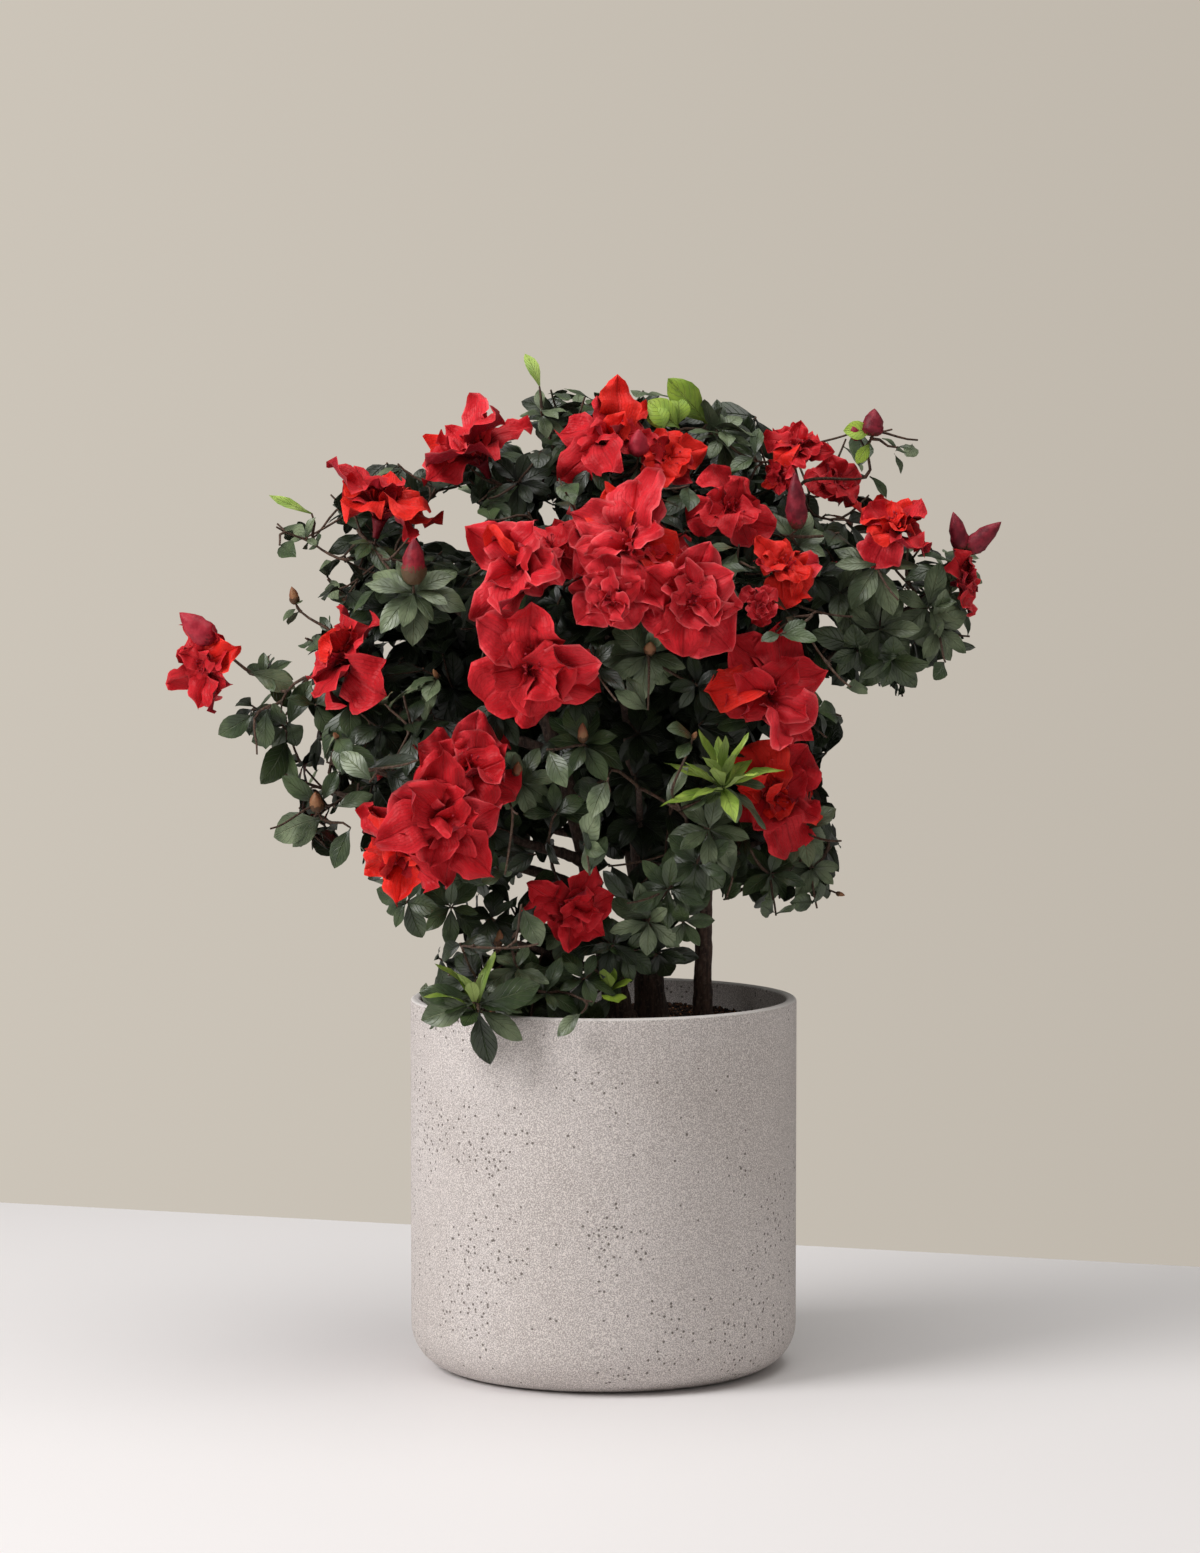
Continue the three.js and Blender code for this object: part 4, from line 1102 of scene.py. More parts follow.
for name, at, axis, count, long, inner, outer, kind, *before in SHOOTS:
    add_head(Vector(at) * MM, BY_NAME[name], main=True, rule="before" if before else "shown",
             axis=Vector(axis).normalized(), count=count, long=long * MM, open=(inner, outer), kind=kind)
for mass in MASSES:
    for sprig in mass["sprigs"]:
        if not crowded(Vector(sprig) * MM, MAIN_APART / 2):
            add_head(Vector(sprig) * MM, mass, main=True)
    wanted = mass["whorls"]
    for _ in range(mass["whorls"] * MAIN_TRIES):
        spot = head_place(mass, *MAIN_SHARES)
        if wanted and free_at(spot, MAIN_APART) and owns(mass, spot, 0):
            add_head(spot, mass, main=True)
            wanted -= 1
main_count = len(heads)
for mass in MASSES:
    for _ in range(FINE_TRIES):
        spot = head_place(mass, *FINE_SHARES)
        if free_at(spot, OUTER_APART if is_outer(spot) else INNER_APART):
            add_head(spot, mass, main=False)
print("main twigs", main_count, "fine twigs", len(heads) - main_count)

# %% Twigs
TWIG_GAP = 5 * MM
TWIG = {"main": 1.25 * MM, "fine": 0.95 * MM, "tip": 0.65 * MM, "leave": 0.3, "arrive": 0.35, "lift": 0.25}
# Tries: millimetres between starts, how many, and the costs of a hit, a start further forward, and a turn
TRY = {"apart": 9, "times": 6, "hit": 9, "forward": 0.8, "turn": 0.5}
twigs = []
bearers = {None}  # the numbers of the twigs that carry another


def nodes_on(path, owner):
    """Where twigs may start: a place, the heading there, and the number of the twig that it is on."""
    return [(path[i], (path[i] - path[i - 1]).normalized(), owner) for i in range(2, len(path))]


def grow_twig(mass, tip, thick, face, may_stop):
    """A twig to its head from the nearest wood of its mass that leaves blooms and gaps clear. Without such
    wood a twig that may stop isn't grown, and the others start where they hit the least."""
    def cost(node):
        away = tip - node[0]
        back = 0 if away.length == 0 else 1 - away.normalized().dot(node[1])
        return away.length * (1 + TRY["turn"] * back) + TRY["forward"] * max(0, tip.y - node[0].y)

    tried = []
    for start, way, owner in sorted(mass["nodes"], key=cost):
        if any((start - other[1][0]).length < TRY["apart"] * MM for other in tried):
            continue
        run = (tip - start).length
        arrive = face if face else ((tip - start).normalized() + UP * TWIG["lift"]).normalized()
        corners = [start, start + way * run * TWIG["leave"], tip - arrive * run * TWIG["arrive"], tip]
        path = smooth_path(corners, max(4, int(run / TWIG_GAP)))
        hits = sum(covers_bloom(p) or in_planter(p) or in_open_air(p) for p in path[1:-1])
        tried.append((run + hits * TRY["hit"] * MM, path, owner, hits))
        if hits == 0 or len(tried) == TRY["times"]:
            break
    _, path, owner, hits = min(tried, key=lambda t: t[0])
    if may_stop and hits:
        return None
    steps = len(path) - 1
    bearers.add(owner)
    twigs.append((path, [thick + (TWIG["tip"] - thick) * i / steps for i in range(len(path))]))
    mass["nodes"] += nodes_on(path[:-1], len(twigs) - 1)
    return (path[-1] - path[-2]).normalized()


for mass in MASSES:
    mass["nodes"] = nodes_on(mass["wood"], None)
ends = [(bloom["mass"], bloom["at"] - bloom["face"] * bloom["radius"] * (THROAT + TUBE_LONG), bloom["face"])
        for bloom in blossoms]
ends += [(BY_NAME[name], Vector(foot) * MM, Vector(way).normalized()) for name, foot, way, *_ in BUDS]
ends = [{"mass": mass, "at": at, "axis": axis, "main": True, "rule": "shown"} for mass, at, axis in ends]
for end in sorted(heads + ends, key=lambda e: (not e["main"], (e["at"] - e["mass"]["centre"]).length)):
    thick = TWIG["main" if end["main"] else "fine"]
    end["way"] = grow_twig(end["mass"], end["at"], thick, end.get("axis"), "rule" not in end)
    end["twig"] = len(twigs) - 1
heads = [head for head in heads if head["way"]]
print("twigs", len(twigs))

# %% Rosettes
ROSETTE = {"fewest": 7, "vary": 4, "open": (50, 104), "golden": math.radians(137.5), "loose": 14,
           "droop": 0.16, "young": 0.7, "growth": 0.3, "run": 5, "roll": 0.5, "upturned": 0.5}
ROSETTE_WAY = {"twig": 0.5, "out": 0.7, "up": 0.35, "front": Vector((0, 0.15, 0))}
LEAF = {"long": 31 * MM, "vary": 0.4, "shapes": 6, "middle": 0.35, "belly": 0.6, "aside": 0.2}
# Rosettes inside the crown get mostly deep leaves, painted shade, and outer ones more green and sage leaves,
# the sage ones painted light.
KIND_SHARES = {"outer": (0.18, 0.56), "inner": (0.8, 0.97)}  # of 1, where deep and where green sprays end
LEAF_BUD = {"share": 0.12, "long": 6, "vary": 3, "wide": 3.0}


def turned_to(along, upper):
    """The turn that lays Y along one direction with Z near another."""
    y = along.normalized()
    z = upper - y * upper.dot(y)
    z = z.normalized() if z.length > 1e-6 else square_to(y)[0]
    return Matrix((y.cross(z), y, z)).transposed().to_quaternion()


def leaf_fits(rule, base, tip):
    """A leaf of a shown shoot has only the planter and the gaps to clear, one in the heart of the crown the
    outline too, and the rule's own leaves also the blooms and the end of their mass."""
    aside = Vector((tip.z - base.z, 0, base.x - tip.x)) * LEAF["aside"]
    belly = base.lerp(tip, LEAF["belly"])
    places = [base.lerp(tip, LEAF["middle"]), belly + aside, belly - aside, tip]
    if rule in ("shown", "before"):
        hidden = rule == "shown" and sum(covers_bloom(p) for p in places) > 1
        return not (hidden or any(in_planter(p) or in_gap(p) for p in places))
    if any(in_planter(p) or in_open_air(p) for p in places):
        return False
    return rule == "heart" or not (beyond_reach(rule, tip)
                                   or any(covers_bloom(p) or covers_shown(p) for p in places))


def rosette(rule, at, axis, count, length, opening, spots):
    """Leaves round the end of a twig: young ones stand up in the middle, old ones lie open outside."""
    before = len(spots)
    right, over = square_to(axis)
    start = draw() * FULL_TURN
    for i in range(count):
        age = i / max(1, count - 1)
        turn = start + i * ROSETTE["golden"]
        open_by = opening[0] + (opening[1] - opening[0]) * age + ROSETTE["loose"] * (draw() - 0.5)
        open_by = math.radians(open_by)
        side = right * math.cos(turn) + over * math.sin(turn)
        along = axis * math.cos(open_by) + side * math.sin(open_by)
        along = (along - UP * ROSETTE["droop"] * age).normalized()
        grown_to = ROSETTE["young"] + ROSETTE["growth"] * age
        long = length * grown_to * (1 + LEAF["vary"] * (draw() - 0.5))
        base = at - axis * age * ROSETTE["run"] * MM
        shape, roll = int(draw() * LEAF["shapes"]), (draw() - 0.5) * ROSETTE["roll"]
        if leaf_fits(rule, base, base + along * long):
            upper = FACE_ON if count == 1 else axis + UP * ROSETTE["upturned"]
            turn_by = turned_to(along, upper) @ Quaternion((0, 1, 0), roll)
            spots.append({"at": base, "turn": turn_by, "size": (long, long, long), "shape": shape})
    return len(spots) > before


# %% Leaves dealt out
leaf_spots = {kind: [] for kind in ("deep", "green", "sage", "lime", "young")}
leaf_buds = []
draw = seeded(404)
for head in heads:
    at = head["at"]
    outward = (at - CROWN_HEART).normalized()
    axis = head.get("axis") or (head["way"] * ROSETTE_WAY["twig"] + outward * ROSETTE_WAY["out"]
                                + UP * ROSETTE_WAY["up"] - ROSETTE_WAY["front"]).normalized()
    pick = draw()
    deep_share, green_share = KIND_SHARES["outer" if head["outer"] else "inner"]
    kind = head.get("kind") or ("deep" if pick < deep_share else "green" if pick < green_share else "sage")
    count = head.get("count") or ROSETTE["fewest"] + int(draw() * ROSETTE["vary"])
    head["leafy"] = rosette(head.get("rule", head["mass"]), at, axis, count, head.get("long", LEAF["long"]),
                            head.get("open", ROSETTE["open"]), leaf_spots[kind])
    if draw() < LEAF_BUD["share"] and head["outer"] and "rule" not in head and head["leafy"]:
        long = LEAF_BUD["long"] + LEAF_BUD["vary"] * draw()
        leaf_buds.append((at - axis * MM, axis, long, LEAF_BUD["wide"]))
bare = {head["twig"] for head in heads if not head["leafy"]} - bearers
twigs = [twig for number, twig in enumerate(twigs) if number not in bare]
print("leaves", {kind: len(spots) for kind, spots in leaf_spots.items()}, "twigs", len(twigs))

# %% [markdown]
# ## Bark and twigs
#
# Each limb is a line of points with a thickness. It could be a stack of cylinders, but a round profile
# carried along the line has no seams. The tree below does that for limbs and twigs alike, and pushes the
# skin in and out by a long-grained noise, which is the bark's relief.

# %% Limb tree
RELIEF_GRAIN, BARK_GRAIN = (1.0, 1.0, 0.22), (1.0, 1.0, 0.18)  # the noises are drawn out along Z


def points_piece(name, spots, edges=(), **fields):
    """A mesh of loose points or lines that carries named values at its points, each (type, values)."""
    mesh = bpy.data.meshes.new(name)
    mesh.from_pydata([tuple(spot) for spot in spots], list(edges), [])
    for key, (kind, values) in fields.items():
        part = "vector" if kind == "FLOAT_VECTOR" else "value"
        mesh.attributes.new(key, kind, "POINT").data.foreach_set(part, values)
    return to_piece(name, mesh)


def lines_of(limbs):
    """The limbs as lines of edges, with a thickness at every point."""
    spots, edges, thick = [], [], []
    for path, radii in limbs:
        edges += [(i, i + 1) for i in range(len(spots), len(spots) + len(path) - 1)]
        spots += path
        thick += radii
    return points_piece("lines", spots, edges, thick=("FLOAT", thick))


def carried(group, kind, name):
    """A named value that the points carry."""
    return put(group, "GeometryNodeInputNamedAttribute", "Attribute", {"data_type": kind}, Name=name)


def limb_tree():
    """A ring carried along each line, as wide as the line is thick, with a relief on its skin."""
    group, given, end = new_tree("limbs from lines", Sides=8, Relief=0.1, Grain=260.0)
    thick = carried(group, "FLOAT", "thick")
    lines = put(group, "GeometryNodeMeshToCurve", "Curve", Mesh=given["Geometry"])
    ring = put(group, "GeometryNodeCurvePrimitiveCircle", "Curve", Resolution=given["Sides"], Radius=1.0)
    skin = put(group, "GeometryNodeCurveToMesh", "Mesh", Curve=lines, Profile_Curve=ring, Scale=thick,
               Fill_Caps=True)
    place = put(group, "GeometryNodeInputPosition", 0)
    drawn_out = put(group, "ShaderNodeVectorMath", 0, {"operation": "MULTIPLY"}, n0=place, n1=RELIEF_GRAIN)
    raised = times(group, reckon(group, "SUBTRACT", noisy(group, drawn_out, given["Grain"], 3.0), 0.5), 2.0)
    raised = times(group, times(group, raised, given["Relief"]), thick)
    normal = put(group, "GeometryNodeInputNormal", 0)
    shift = put(group, "ShaderNodeVectorMath", 0, {"operation": "SCALE"}, n0=normal, Scale=raised)
    return end_tree(group, given, end, put(group, "GeometryNodeSetPosition", 0, Geometry=skin, Offset=shift))


def bark(name, dark, light, grain):
    material, tree = start_material(name, 0.88)
    place = own_place(tree)
    drawn_out = put(tree, "ShaderNodeVectorMath", 0, {"operation": "MULTIPLY"}, n0=place, n1=BARK_GRAIN)
    streaks = noisy(tree, drawn_out, grain, 5.0, Roughness=0.7)
    flakes = use_group(tree, SPECKLE, Vector=place, Grains=500.0, Share=0.3)
    base = blend(tree, ramp(tree, streaks, 0.35, 0.7), dark, light)
    base = blend(tree, times(tree, flakes["Light"], 0.4), base, (0.16, 0.12, 0.09))
    return end_material(material, base, streaks, 0.7, 0.0012)


LIMBS = limb_tree()
stem_bark = bark("stem bark", (0.026, 0.014, 0.010), (0.115, 0.066, 0.048), 420.0)
twig_bark = bark("twig bark", (0.03, 0.016, 0.009), (0.11, 0.055, 0.032), 700.0)
wood_nodes = [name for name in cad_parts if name.startswith(("stem_", "bough_"))]
skinned = grown("limbs", lines_of(limbs), LIMBS, Sides=12, Relief=0.28, Grain=330.0, Finish=stem_bark)
hand_over(skinned, "bark", *wood_nodes)
skinned = grown("twigs", lines_of(twigs), LIMBS, Sides=5, Relief=0.1, Grain=500.0, Finish=twig_bark)
hand_over(skinned, "bark")

# %% [markdown]
# ## Leaves
#
# An azalea leaf is small and oval, widest past its middle, with a short point, a sunken midrib and a
# slightly rolled edge. It could be a flat card with a picture. Each leaf here has its own outline in a few
# faces, folded along the midrib and arched, because a fold is what catches the light.


# %% Blades
def blade(name, outline, columns, surface):
    """A thin blade. Each row of the outline is a share of its length and a share of its width."""
    shape = bmesh.new()
    uv = shape.loops.layers.uv.new("UVMap")
    rows = []
    for along, wide in outline:
        sides = [0.0] if wide == 0 else np.linspace(-1, 1, columns + 1)
        rows.append([(shape.verts.new(surface(along, side, wide)), (side / 2 + 0.5, along))
                     for side in sides])
    for low, high in zip(rows, rows[1:]):
        for i in range(len(low) - 1):
            corners = [low[i], low[i + 1]] + ([high[i + 1], high[i]] if len(high) > 1 else [high[0]])
            face = shape.faces.new([vert for vert, _ in corners])
            for loop, (_, spot) in zip(face.loops, corners):
                loop[uv].uv = spot
    return to_piece(name, shape, linked=False, smooth=True)


# %% Leaf shapes
LEAF_OUTLINE = [(0, 0.06), (0.08, 0.1), (0.2, 0.42), (0.36, 0.82), (0.52, 1.0), (0.68, 0.94), (0.82, 0.68),
                (0.93, 0.32), (1, 0)]
NARROW_OUTLINE = [(0, 0.1), (0.15, 0.35), (0.35, 0.8), (0.55, 1.0), (0.75, 0.8), (0.9, 0.4), (1, 0)]
LEAF_COLUMNS = 4
LEAF_BEND = {"rolled": -0.25, "wave": 0.03, "swing": 0.06, "drawn in": 0.12, "arch": 0.35}


def leaf(name, seed, half_width, fold, arch, outline):
    """A leaf one unit long, folded up along its midrib and arched down towards its tip. The factors in the
    sines say how often its edge waves, and let each seed wave in its own way."""
    def surface(along, side, wide):
        x = side * wide * half_width
        rolled = LEAF_BEND["rolled"] * abs(side) ** 3 * half_width * wide
        wave = LEAF_BEND["wave"] * math.sin(along * 9 + seed + side * 2.5) * abs(side)
        swing = LEAF_BEND["swing"] * math.sin(seed * 2.1) * along * along
        sunk = arch * LEAF_BEND["arch"] * along * along
        return Vector((x + swing, along * (1 - LEAF_BEND["drawn in"] * arch * along),
                       fold * abs(x) + rolled + wave - sunk))

    return blade(name, outline, LEAF_COLUMNS, surface)


def leaf_set(outline, half_width):
    """Leaves that differ a little in width, fold and arch."""
    return [leaf(f"leaf_{i}", i * 1.7, half_width * (0.74 + 0.1 * (i % 4)), 0.3 + 0.1 * (i % 3),
                 0.3 + 0.25 * (i % 4), outline) for i in range(LEAF["shapes"])]


print("rows of faces in a leaf", len(LEAF_OUTLINE) - 1, "and in a narrow one", len(NARROW_OUTLINE) - 1)


# %% Leaf finish
# The deep kind is painted shade: near-black leaves for rosettes inside the crown and in its shade. The sage
# kind is painted light and sheen: pale grey-green leaves for lit, glossy rosettes.
LEAF_KINDS = {  # deep, lit, vein and underside colours, roughness, half a leaf's width, outline
    "deep": ((0.008, 0.015, 0.005), (0.022, 0.036, 0.012), (0.060, 0.085, 0.038), (0.025, 0.036, 0.018), 0.37,
             0.27, LEAF_OUTLINE),
    "green": ((0.024, 0.045, 0.014), (0.065, 0.098, 0.036), (0.17, 0.21, 0.11), (0.05, 0.066, 0.034), 0.37,
              0.27, LEAF_OUTLINE),
    # Painted light and sheen: pale grey-green leaves that stand for lit, glossy ones.
    "sage": ((0.056, 0.083, 0.035), (0.168, 0.210, 0.115), (0.32, 0.36, 0.22), (0.08, 0.10, 0.058), 0.38,
             0.27, LEAF_OUTLINE),
    "lime": ((0.17, 0.29, 0.02), (0.31, 0.45, 0.04), (0.45, 0.56, 0.16), (0.28, 0.38, 0.08), 0.5,
             0.34, LEAF_OUTLINE),
    "young": ((0.18, 0.30, 0.03), (0.35, 0.48, 0.08), (0.48, 0.58, 0.20), (0.32, 0.42, 0.12), 0.5,
              0.15, NARROW_OUTLINE),
}
FOOT_SHADE = {"until": 0.7, "weight": 0.7, "tone": 0.35}  # a leaf is darker towards its foot


def leaf_finish(name, deep, lit, vein, under, roughness):
    material, tree = start_material(name, roughness, Specular_IOR_Level=0.5)
    veins = use_group(tree, VEINS, Pairs=7.0, Sweep=0.35, Midrib=0.07)
    patches = use_group(tree, MOTTLE, Vector=own_place(tree), Patches=70.0, Strength=1.0)
    base = blend(tree, patches["Mask"], deep, lit)
    base = blend(tree, times(tree, veins["Mask"], 0.5), base, vein)
    foot = ramp(tree, veins["Along"], 0.0, FOOT_SHADE["until"], FOOT_SHADE["weight"], 0.0)
    base = blend(tree, foot, base, tuple(c * FOOT_SHADE["tone"] for c in deep))
    base = blend(tree, put(tree, "ShaderNodeNewGeometry", "Backfacing"), base, under)
    return end_material(material, base, reckon(tree, "SUBTRACT", 1.0, veins["Mask"]), 0.8, 0.001)


# %% Things placed on points
def placing_tree():
    """A shape on each point, with the number, the turn and the size that the point carries."""
    group, given, end = new_tree("shapes on points", Shapes="Collection")
    return end_tree(group, given, end, place_shapes(
        group, given, given["Geometry"], Instance_Index=carried(group, "INT", "shape"),
        Rotation=carried(group, "QUATERNION", "turn"), Scale=carried(group, "FLOAT_VECTOR", "size")))


PLACING = placing_tree()


def set_out(name, spots, shapes, finish, slot, *replaced):
    """One piece: the shapes set on the spots, made real, in one finish."""
    source = points_piece("points", [s["at"] for s in spots],
                          turn=("QUATERNION", [part for s in spots for part in s["turn"]]),
                          size=("FLOAT_VECTOR", [part for s in spots for part in s["size"]]),
                          shape=("INT", [s["shape"] for s in spots]))
    print(len(spots), "shapes in", name)
    hand_over(grown(name, source, PLACING, shapes, Finish=finish), slot, *replaced)


# %% Leaves on the twigs
leaf_nodes = [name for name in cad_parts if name.startswith("foliage_")]
for kind, (*look, half_width, outline) in LEAF_KINDS.items():
    finish = leaf_finish(f"{kind} leaf", *look)
    replaced = leaf_nodes if kind == "deep" else ()
    set_out(f"leaves_{kind}", leaf_spots[kind], leaf_set(outline, half_width), finish, "foliage", *replaced)

# %% [markdown]
# ## Blooms
#
# An azalea bloom of this kind is semi-double: rings of broad, pointed, ruffled petals on a short funnel, and
# small crumpled ones round the stamens. Cloth simulation could crumple them, but a petal is stiff and keeps
# its ruffles. Each petal is a blade bent along its length, cupped or rolled across it, and waved most at its
# edge. Thirteen different ones, turned and sized, make the three forms of bloom.

# %% Petals
POINTED = [(0, 0.22), (0.08, 0.25), (0.16, 0.35), (0.24, 0.5), (0.32, 0.68), (0.4, 0.84), (0.48, 0.95),
           (0.56, 1.0), (0.64, 0.98), (0.72, 0.88), (0.79, 0.73), (0.86, 0.53), (0.92, 0.33), (0.96, 0.17),
           (1, 0)]
BLUNT = [(0, 0.22), (0.08, 0.25), (0.16, 0.33), (0.24, 0.46), (0.32, 0.62), (0.4, 0.77), (0.48, 0.89),
         (0.56, 0.97), (0.64, 1.0), (0.72, 0.98), (0.79, 0.92), (0.86, 0.79), (0.92, 0.6), (0.97, 0.34),
         (1, 0)]
PETAL_COLUMNS = 10
PETAL = {"steps": 60, "foot": 0.05, "bend from": 0.08, "bend over": 0.5, "edge wave": 0.07, "turn over": 1.7,
         "small frill": 0.45, "at edge": 1.6, "crumple": 1.3, "keel": 0.05, "keel width": 2.2, "swing": 0.05}


def petal(i, half_width, last_lean, cup, ruffle, outline=None, first_lean=12):
    """A petal one unit long that leaves the funnel near the axis, Z, and bends out along Y. The factors in
    the sines and in the noise say how often it waves and crumples, and make each seed differ."""
    steps, seed = PETAL["steps"], i + 1
    shares = [min(1, max(0, (k / steps - PETAL["bend from"]) / PETAL["bend over"])) for k in range(steps + 1)]
    lean = [math.radians(first_lean + (last_lean - first_lean) * t * t * (3 - 2 * t)) for t in shares]
    out = PETAL["foot"] + np.concatenate([[0], np.cumsum([math.sin(a) / steps for a in lean[1:]])])
    forth = np.concatenate([[0], np.cumsum([math.cos(a) / steps for a in lean[1:]])])

    def surface(along, side, wide):
        k = min(int(along * steps), steps)
        x = side * wide * half_width * (1 + PETAL["edge wave"] * math.sin(along * 19 + seed * 3 + side))
        inward = Vector((0, -math.cos(lean[k]), math.sin(lean[k])))
        bowl = cup * (1 - PETAL["turn over"] * along) * x * x / half_width
        large = math.sin(along * 9 + seed * 1.9 + (1.9 if side > 0 else 0))
        small = math.sin(along * 23 + seed * 4.1 - side)
        frill = (large + PETAL["small frill"] * small) * abs(side) ** PETAL["at edge"]
        crumple = noise.noise(Vector((x * 4.5, along * 3.5, seed * 5.3)))
        keel = PETAL["keel"] * (1 - min(1, abs(side) * PETAL["keel width"])) * along
        lift = bowl + ruffle * min(1, along * 1.6) * (frill + PETAL["crumple"] * crumple) - keel
        swing = PETAL["swing"] * math.sin(seed * 2.7) * along * along
        return Vector((x + swing, out[k], forth[k])) + inward * lift

    return blade(f"petal_{i:02}", outline or POINTED, PETAL_COLUMNS, surface)


def petal_set():
    """Six broad petals, three narrow and rolled ones, and four long ones."""
    broad = [petal(i, 0.37 + 0.02 * (i % 3), 62 + 11 * i, 0.6, 0.105 + 0.02 * (i % 3),
                   BLUNT if i % 2 else POINTED) for i in range(6)]
    narrow = [petal(i, 0.24, 50 + 25 * (i - 6), 1.2, 0.17, first_lean=10) for i in (6, 7, 8)]
    long = [petal(i, 0.29, 58 + 14 * (i - 9), 0.75, 0.12) for i in (9, 10, 11, 12)]
    return broad + narrow + long


PETAL_SHAPES = {"broad": (0, 6), "narrow": (6, 3), "long": (9, 4)}  # the first of each kind, and how many
print("petal shapes", PETAL_SHAPES)

# %% Petal finish
# The edge colour is painted light, the rim colour a painted highlight and the throat colour painted shade.
PETAL_KINDS = {  # body, edge, throat, back and rim colours, and roughness
    "crimson": ((0.48, 0.006, 0.012), (0.65, 0.015, 0.025), (0.11, 0.001, 0.003), (0.24, 0.006, 0.018),
                (0.78, 0.045, 0.055), 0.46),
    # Painted light: the orange of petals that light shines through.
    "scarlet": ((0.68, 0.010, 0.006), (0.84, 0.022, 0.012), (0.26, 0.003, 0.003), (0.34, 0.006, 0.010),
                (0.90, 0.055, 0.035), 0.46),
    # A lighter, pinker crimson: partly the petals' own tone and partly painted highlight.
    "rose": ((0.58, 0.011, 0.021), (0.79, 0.040, 0.054), (0.16, 0.002, 0.005), (0.32, 0.010, 0.024),
             (0.92, 0.17, 0.18), 0.42),
}
PETAL_WEIGHTS = {"vein": 0.22, "back": 0.75, "rim": 0.5}


def petal_finish(name, body, edge, throat, back, rim, roughness):
    material, tree = start_material(name, roughness, Specular_IOR_Level=0.16, Sheen_Weight=0.1,
                                    Sheen_Tint=(1.0, 0.55, 0.55))
    place = own_place(tree)
    veins = use_group(tree, VEINS, Pairs=3.0, Sweep=2.4, Midrib=0.08)
    patches = use_group(tree, MOTTLE, Vector=place, Patches=60.0, Strength=0.6)
    across, along = veins["Across"], veins["Along"]
    # Partly random patches and partly painted light: the petal is painted in its lighter edge colour towards
    # its sides.
    base = blend(tree, reckon(tree, "MAXIMUM", patches["Mask"], ramp(tree, across, 0.55, 1.0)), body, edge)
    # Painted shade: the petal is painted dark towards its foot, in the throat, and its veins take the same
    # dark colour.
    base = blend(tree, ramp(tree, along, 0.12, 0.58, 1.0, 0.0), base, throat)
    base = blend(tree, times(tree, veins["Mask"], PETAL_WEIGHTS["vein"]), base, throat)
    behind = put(tree, "ShaderNodeNewGeometry", "Backfacing")
    base = blend(tree, times(tree, behind, PETAL_WEIGHTS["back"]), base, back)
    # Painted highlight: a thin light line along the petal's margin and tip.
    margin = reckon(tree, "MAXIMUM", ramp(tree, across, 0.86, 1.0), ramp(tree, along, 0.93, 1.0))
    base = blend(tree, times(tree, margin, PETAL_WEIGHTS["rim"]), base, rim)
    relief = reckon(tree, "ADD", times(tree, veins["Mask"], -0.6), noisy(tree, place, 260.0, 2.0))
    return end_material(material, base, relief, 0.6, 0.0016)


# %% Rings of petals
BLOOM_FORMS = {  # rings of petals: how many, length over the bloom's radius, tilt outwards in degrees, shape
    "open": [(6, 1.34, 5, "broad"),
             (5, 1.08, -18, "broad"),
             (4, 0.7, -22, "narrow")],
    "star": [(6, 1.45, 4, "long"),
             (3, 1.2, -8, "broad"),
             (4, 1.12, -22, "long"),
             (3, 0.7, -26, "narrow")],
    "full": [(6, 1.28, 5, "broad"),
             (6, 1.12, -14, "long"),
             (5, 0.98, -28, "broad"),
             (5, 0.82, -34, "narrow"),
             (3, 0.6, -30, "narrow")],
}
AXIS_X, AXIS_Y, AXIS_Z = (1, 0, 0), (0, 1, 0), (0, 0, 1)
PETAL_PLACE = {"stagger": 0.5, "turn": 0.35, "tilt": 30, "twist": 0.9, "vary": 0.2}
STAMEN = {"count": 6, "lean": 0.1, "spread": 0.35, "long": 0.6, "vary": 0.2}
petal_spots = {colour: [] for colour in PETAL_KINDS}
stamen_spots, tube_spots = [], []


draw = seeded(77)
for bloom in blossoms:
    face, radius = bloom["face"], bloom["radius"]
    facing = face.to_track_quat("Z", "Y") @ Quaternion(AXIS_Z, draw() * FULL_TURN)
    throat = bloom["at"] - face * radius * THROAT
    for level, (count, length, lean, shapes) in enumerate(BLOOM_FORMS[bloom["form"]]):
        first, kinds = PETAL_SHAPES[shapes]
        for i in range(count):
            place = i + PETAL_PLACE["stagger"] * (level % 2) + PETAL_PLACE["turn"] * (draw() - 0.5)
            turn = place / count * FULL_TURN
            tilt = math.radians(lean + PETAL_PLACE["tilt"] * (draw() - 0.5))
            twist = (draw() - 0.5) * PETAL_PLACE["twist"]
            long = radius * length * (1 + PETAL_PLACE["vary"] * (draw() - 0.5))
            turned = facing @ Quaternion(AXIS_Z, turn) @ Quaternion(AXIS_X, -tilt) @ Quaternion(AXIS_Y, twist)
            # Scarlet petals are painted light shining through them; rose ones are partly painted highlight.
            pick = draw()
            colour = ("scarlet" if pick < bloom["scarlet"] else
                      "rose" if pick < bloom["scarlet"] + bloom["rose"] else "crimson")
            petal_spots[colour].append({"at": throat, "turn": turned, "size": (long,) * 3,
                                        "shape": first + int(draw() * kinds)})
    for i in range(STAMEN["count"]):
        lean = -STAMEN["lean"] - STAMEN["spread"] * draw()
        turned = facing @ Quaternion(AXIS_Z, i * ROSETTE["golden"]) @ Quaternion(AXIS_X, lean)
        long = radius * (STAMEN["long"] + STAMEN["vary"] * draw())
        stamen_spots.append({"at": throat, "turn": turned, "size": (long,) * 3, "shape": 0})
    tube_spots.append({"at": throat, "turn": facing, "size": (radius,) * 3, "shape": 0})

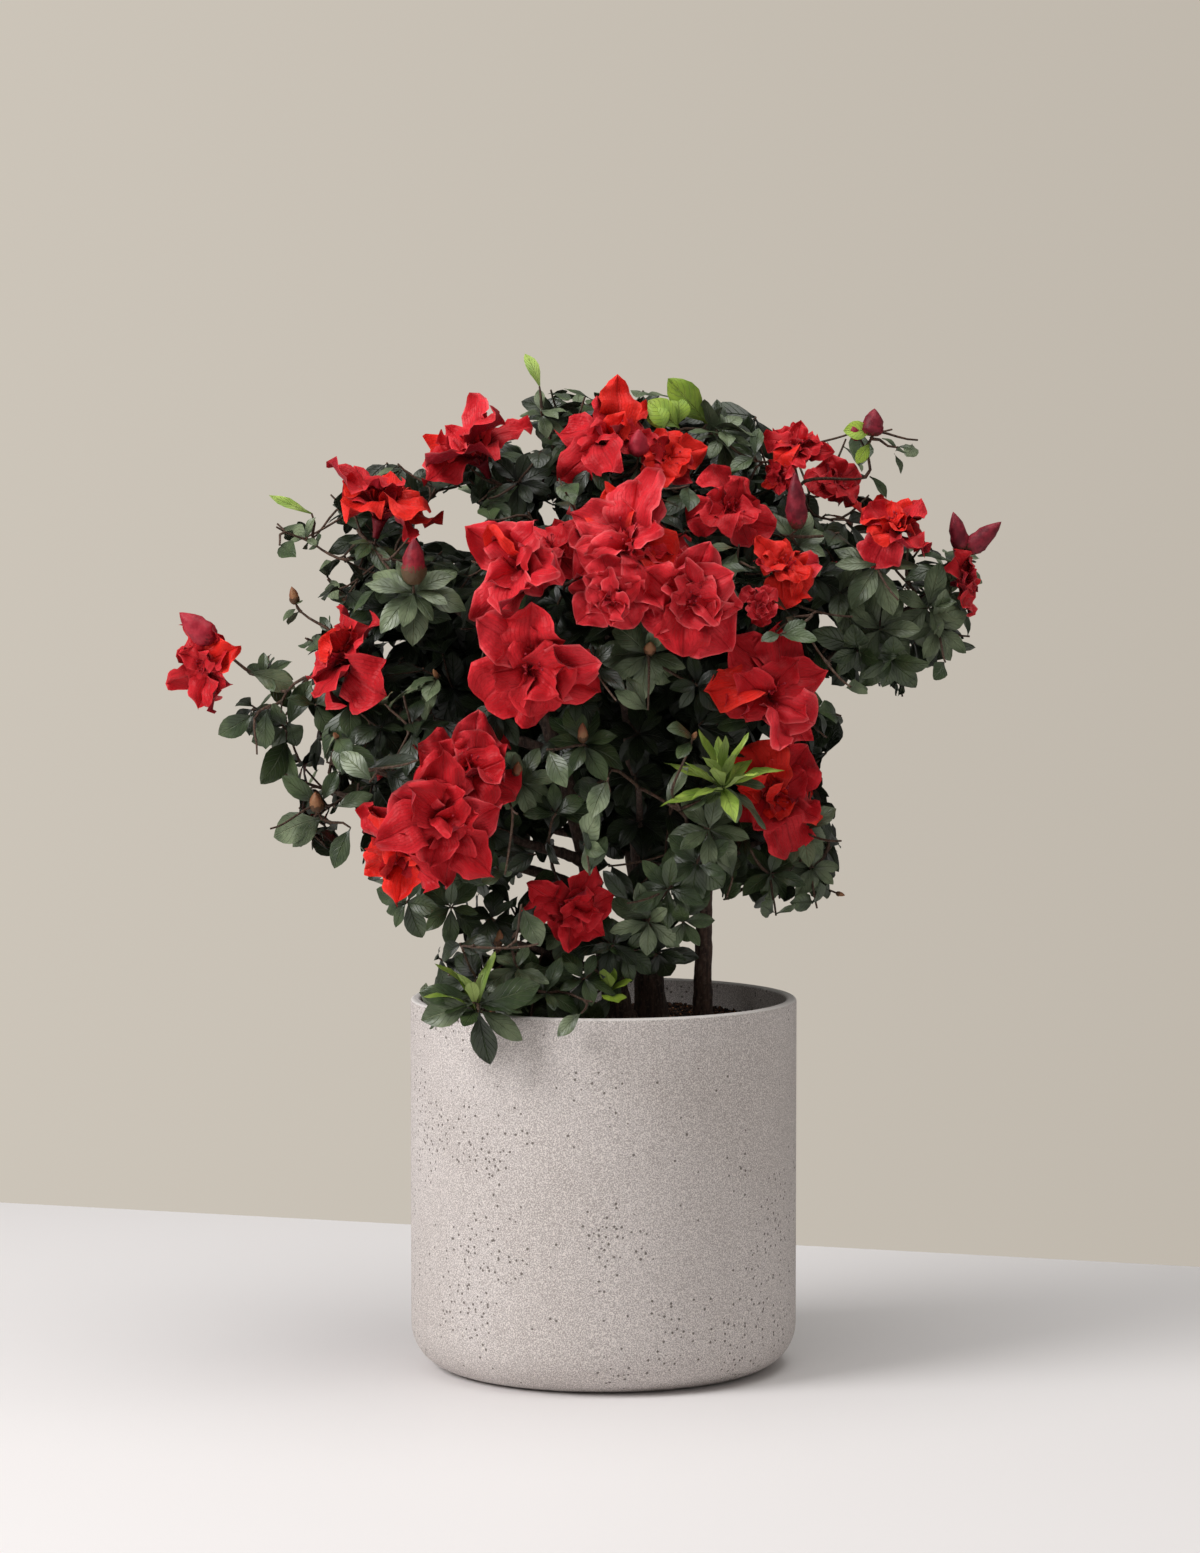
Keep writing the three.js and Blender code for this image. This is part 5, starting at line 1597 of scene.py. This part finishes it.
for colour, spots in petal_spots.items():
    finish = petal_finish(f"{colour} petal", *PETAL_KINDS[colour])
    set_out(f"petals_{colour}", spots, petal_set(), finish, "blossom")

# %% Stamens, tubes and buds
STAMEN_RINGS = [(0, 0), (0.02, 0.016), (0.5, 0.014), (0.9, 0.012), (0.92, 0.03), (0.97, 0.034), (1.0, 0)]
TUBE_RINGS = [(-TUBE_LONG, 0), (-TUBE_LONG + 0.02, 0.06), (-0.2, 0.075), (-0.05, 0.11), (0.08, 0.15),
              (0.03, 0.1), (0, 0)]
BUD_RINGS = [(0, 0), (0.02, 0.24), (0.1, 0.38), (0.22, 0.48), (0.34, 0.5), (0.44, 0.43), (0.56, 0.42),
             (0.7, 0.34), (0.84, 0.21), (0.94, 0.09), (1, 0)]
BUD_KINDS = {  # scales, body and tip colours, and the share of the length that the scales cover
    "wine": ((0.085, 0.030, 0.020), (0.12, 0.007, 0.016), (0.26, 0.020, 0.036), 0.08),
    "cupped": ((0.10, 0.060, 0.030), (0.15, 0.007, 0.016), (0.30, 0.018, 0.030), 0.34),
    "crimson": ((0.16, 0.006, 0.014), (0.30, 0.010, 0.024), (0.42, 0.022, 0.04), 0.1),
    "scale": ((0.085, 0.042, 0.020), (0.20, 0.065, 0.032), (0.27, 0.13, 0.06), 0.35),
}


def bud_finish(name, scales, body, tip, cup):
    """Folded petals that rise from a cup of scales."""
    material, tree = start_material(name, 0.5, Specular_IOR_Level=0.25)
    place = own_place(tree)
    patches = use_group(tree, MOTTLE, Vector=place, Patches=160.0, Strength=1.0)
    streaks = noisy(tree, place, 500.0, 3.0)
    base = blend(tree, patches["Mask"], body, tip)
    uneven = times(tree, reckon(tree, "SUBTRACT", streaks, 0.5), 0.5)
    along = reckon(tree, "ADD", use_group(tree, VEINS)["Along"], uneven)
    base = blend(tree, ramp(tree, along, cup, cup + 0.08, 1.0, 0.0), base, scales)
    return end_material(material, base, streaks, 0.5, 0.0008)


def bud_spot(foot, way, long, wide):
    turned = Vector(way).to_track_quat("Z", "Y")
    return {"at": foot, "turn": turned, "size": (wide * MM, wide * MM, long * MM), "shape": 0}


bud_spots = {kind: [] for kind in BUD_KINDS}
for name, foot, way, long, wide, kind in BUDS:
    bud_spots[kind].append(bud_spot(Vector(foot) * MM, way, long, wide))
bud_spots["scale"] += [bud_spot(*bud) for bud in leaf_buds]
finishes = {kind: bud_finish(f"{kind} bud", *look) for kind, look in BUD_KINDS.items()}
for kind, finish in finishes.items():
    lobes, slot = (3, "foliage") if kind == "scale" else (5, "blossom")
    bud = round_shape("bud", BUD_RINGS, 15, lobes, 2.6, 0.22)
    set_out(f"buds_{kind}", bud_spots[kind], [bud], finish, slot)
stamen = round_shape("stamen", STAMEN_RINGS, 4)
set_out("stamens", stamen_spots, [stamen], finishes["crimson"], "blossom")
tube = round_shape("tube", TUBE_RINGS, 10, 5, 0, 0.1)
set_out("bloom_tubes", tube_spots, [tube], finishes["crimson"], "blossom")
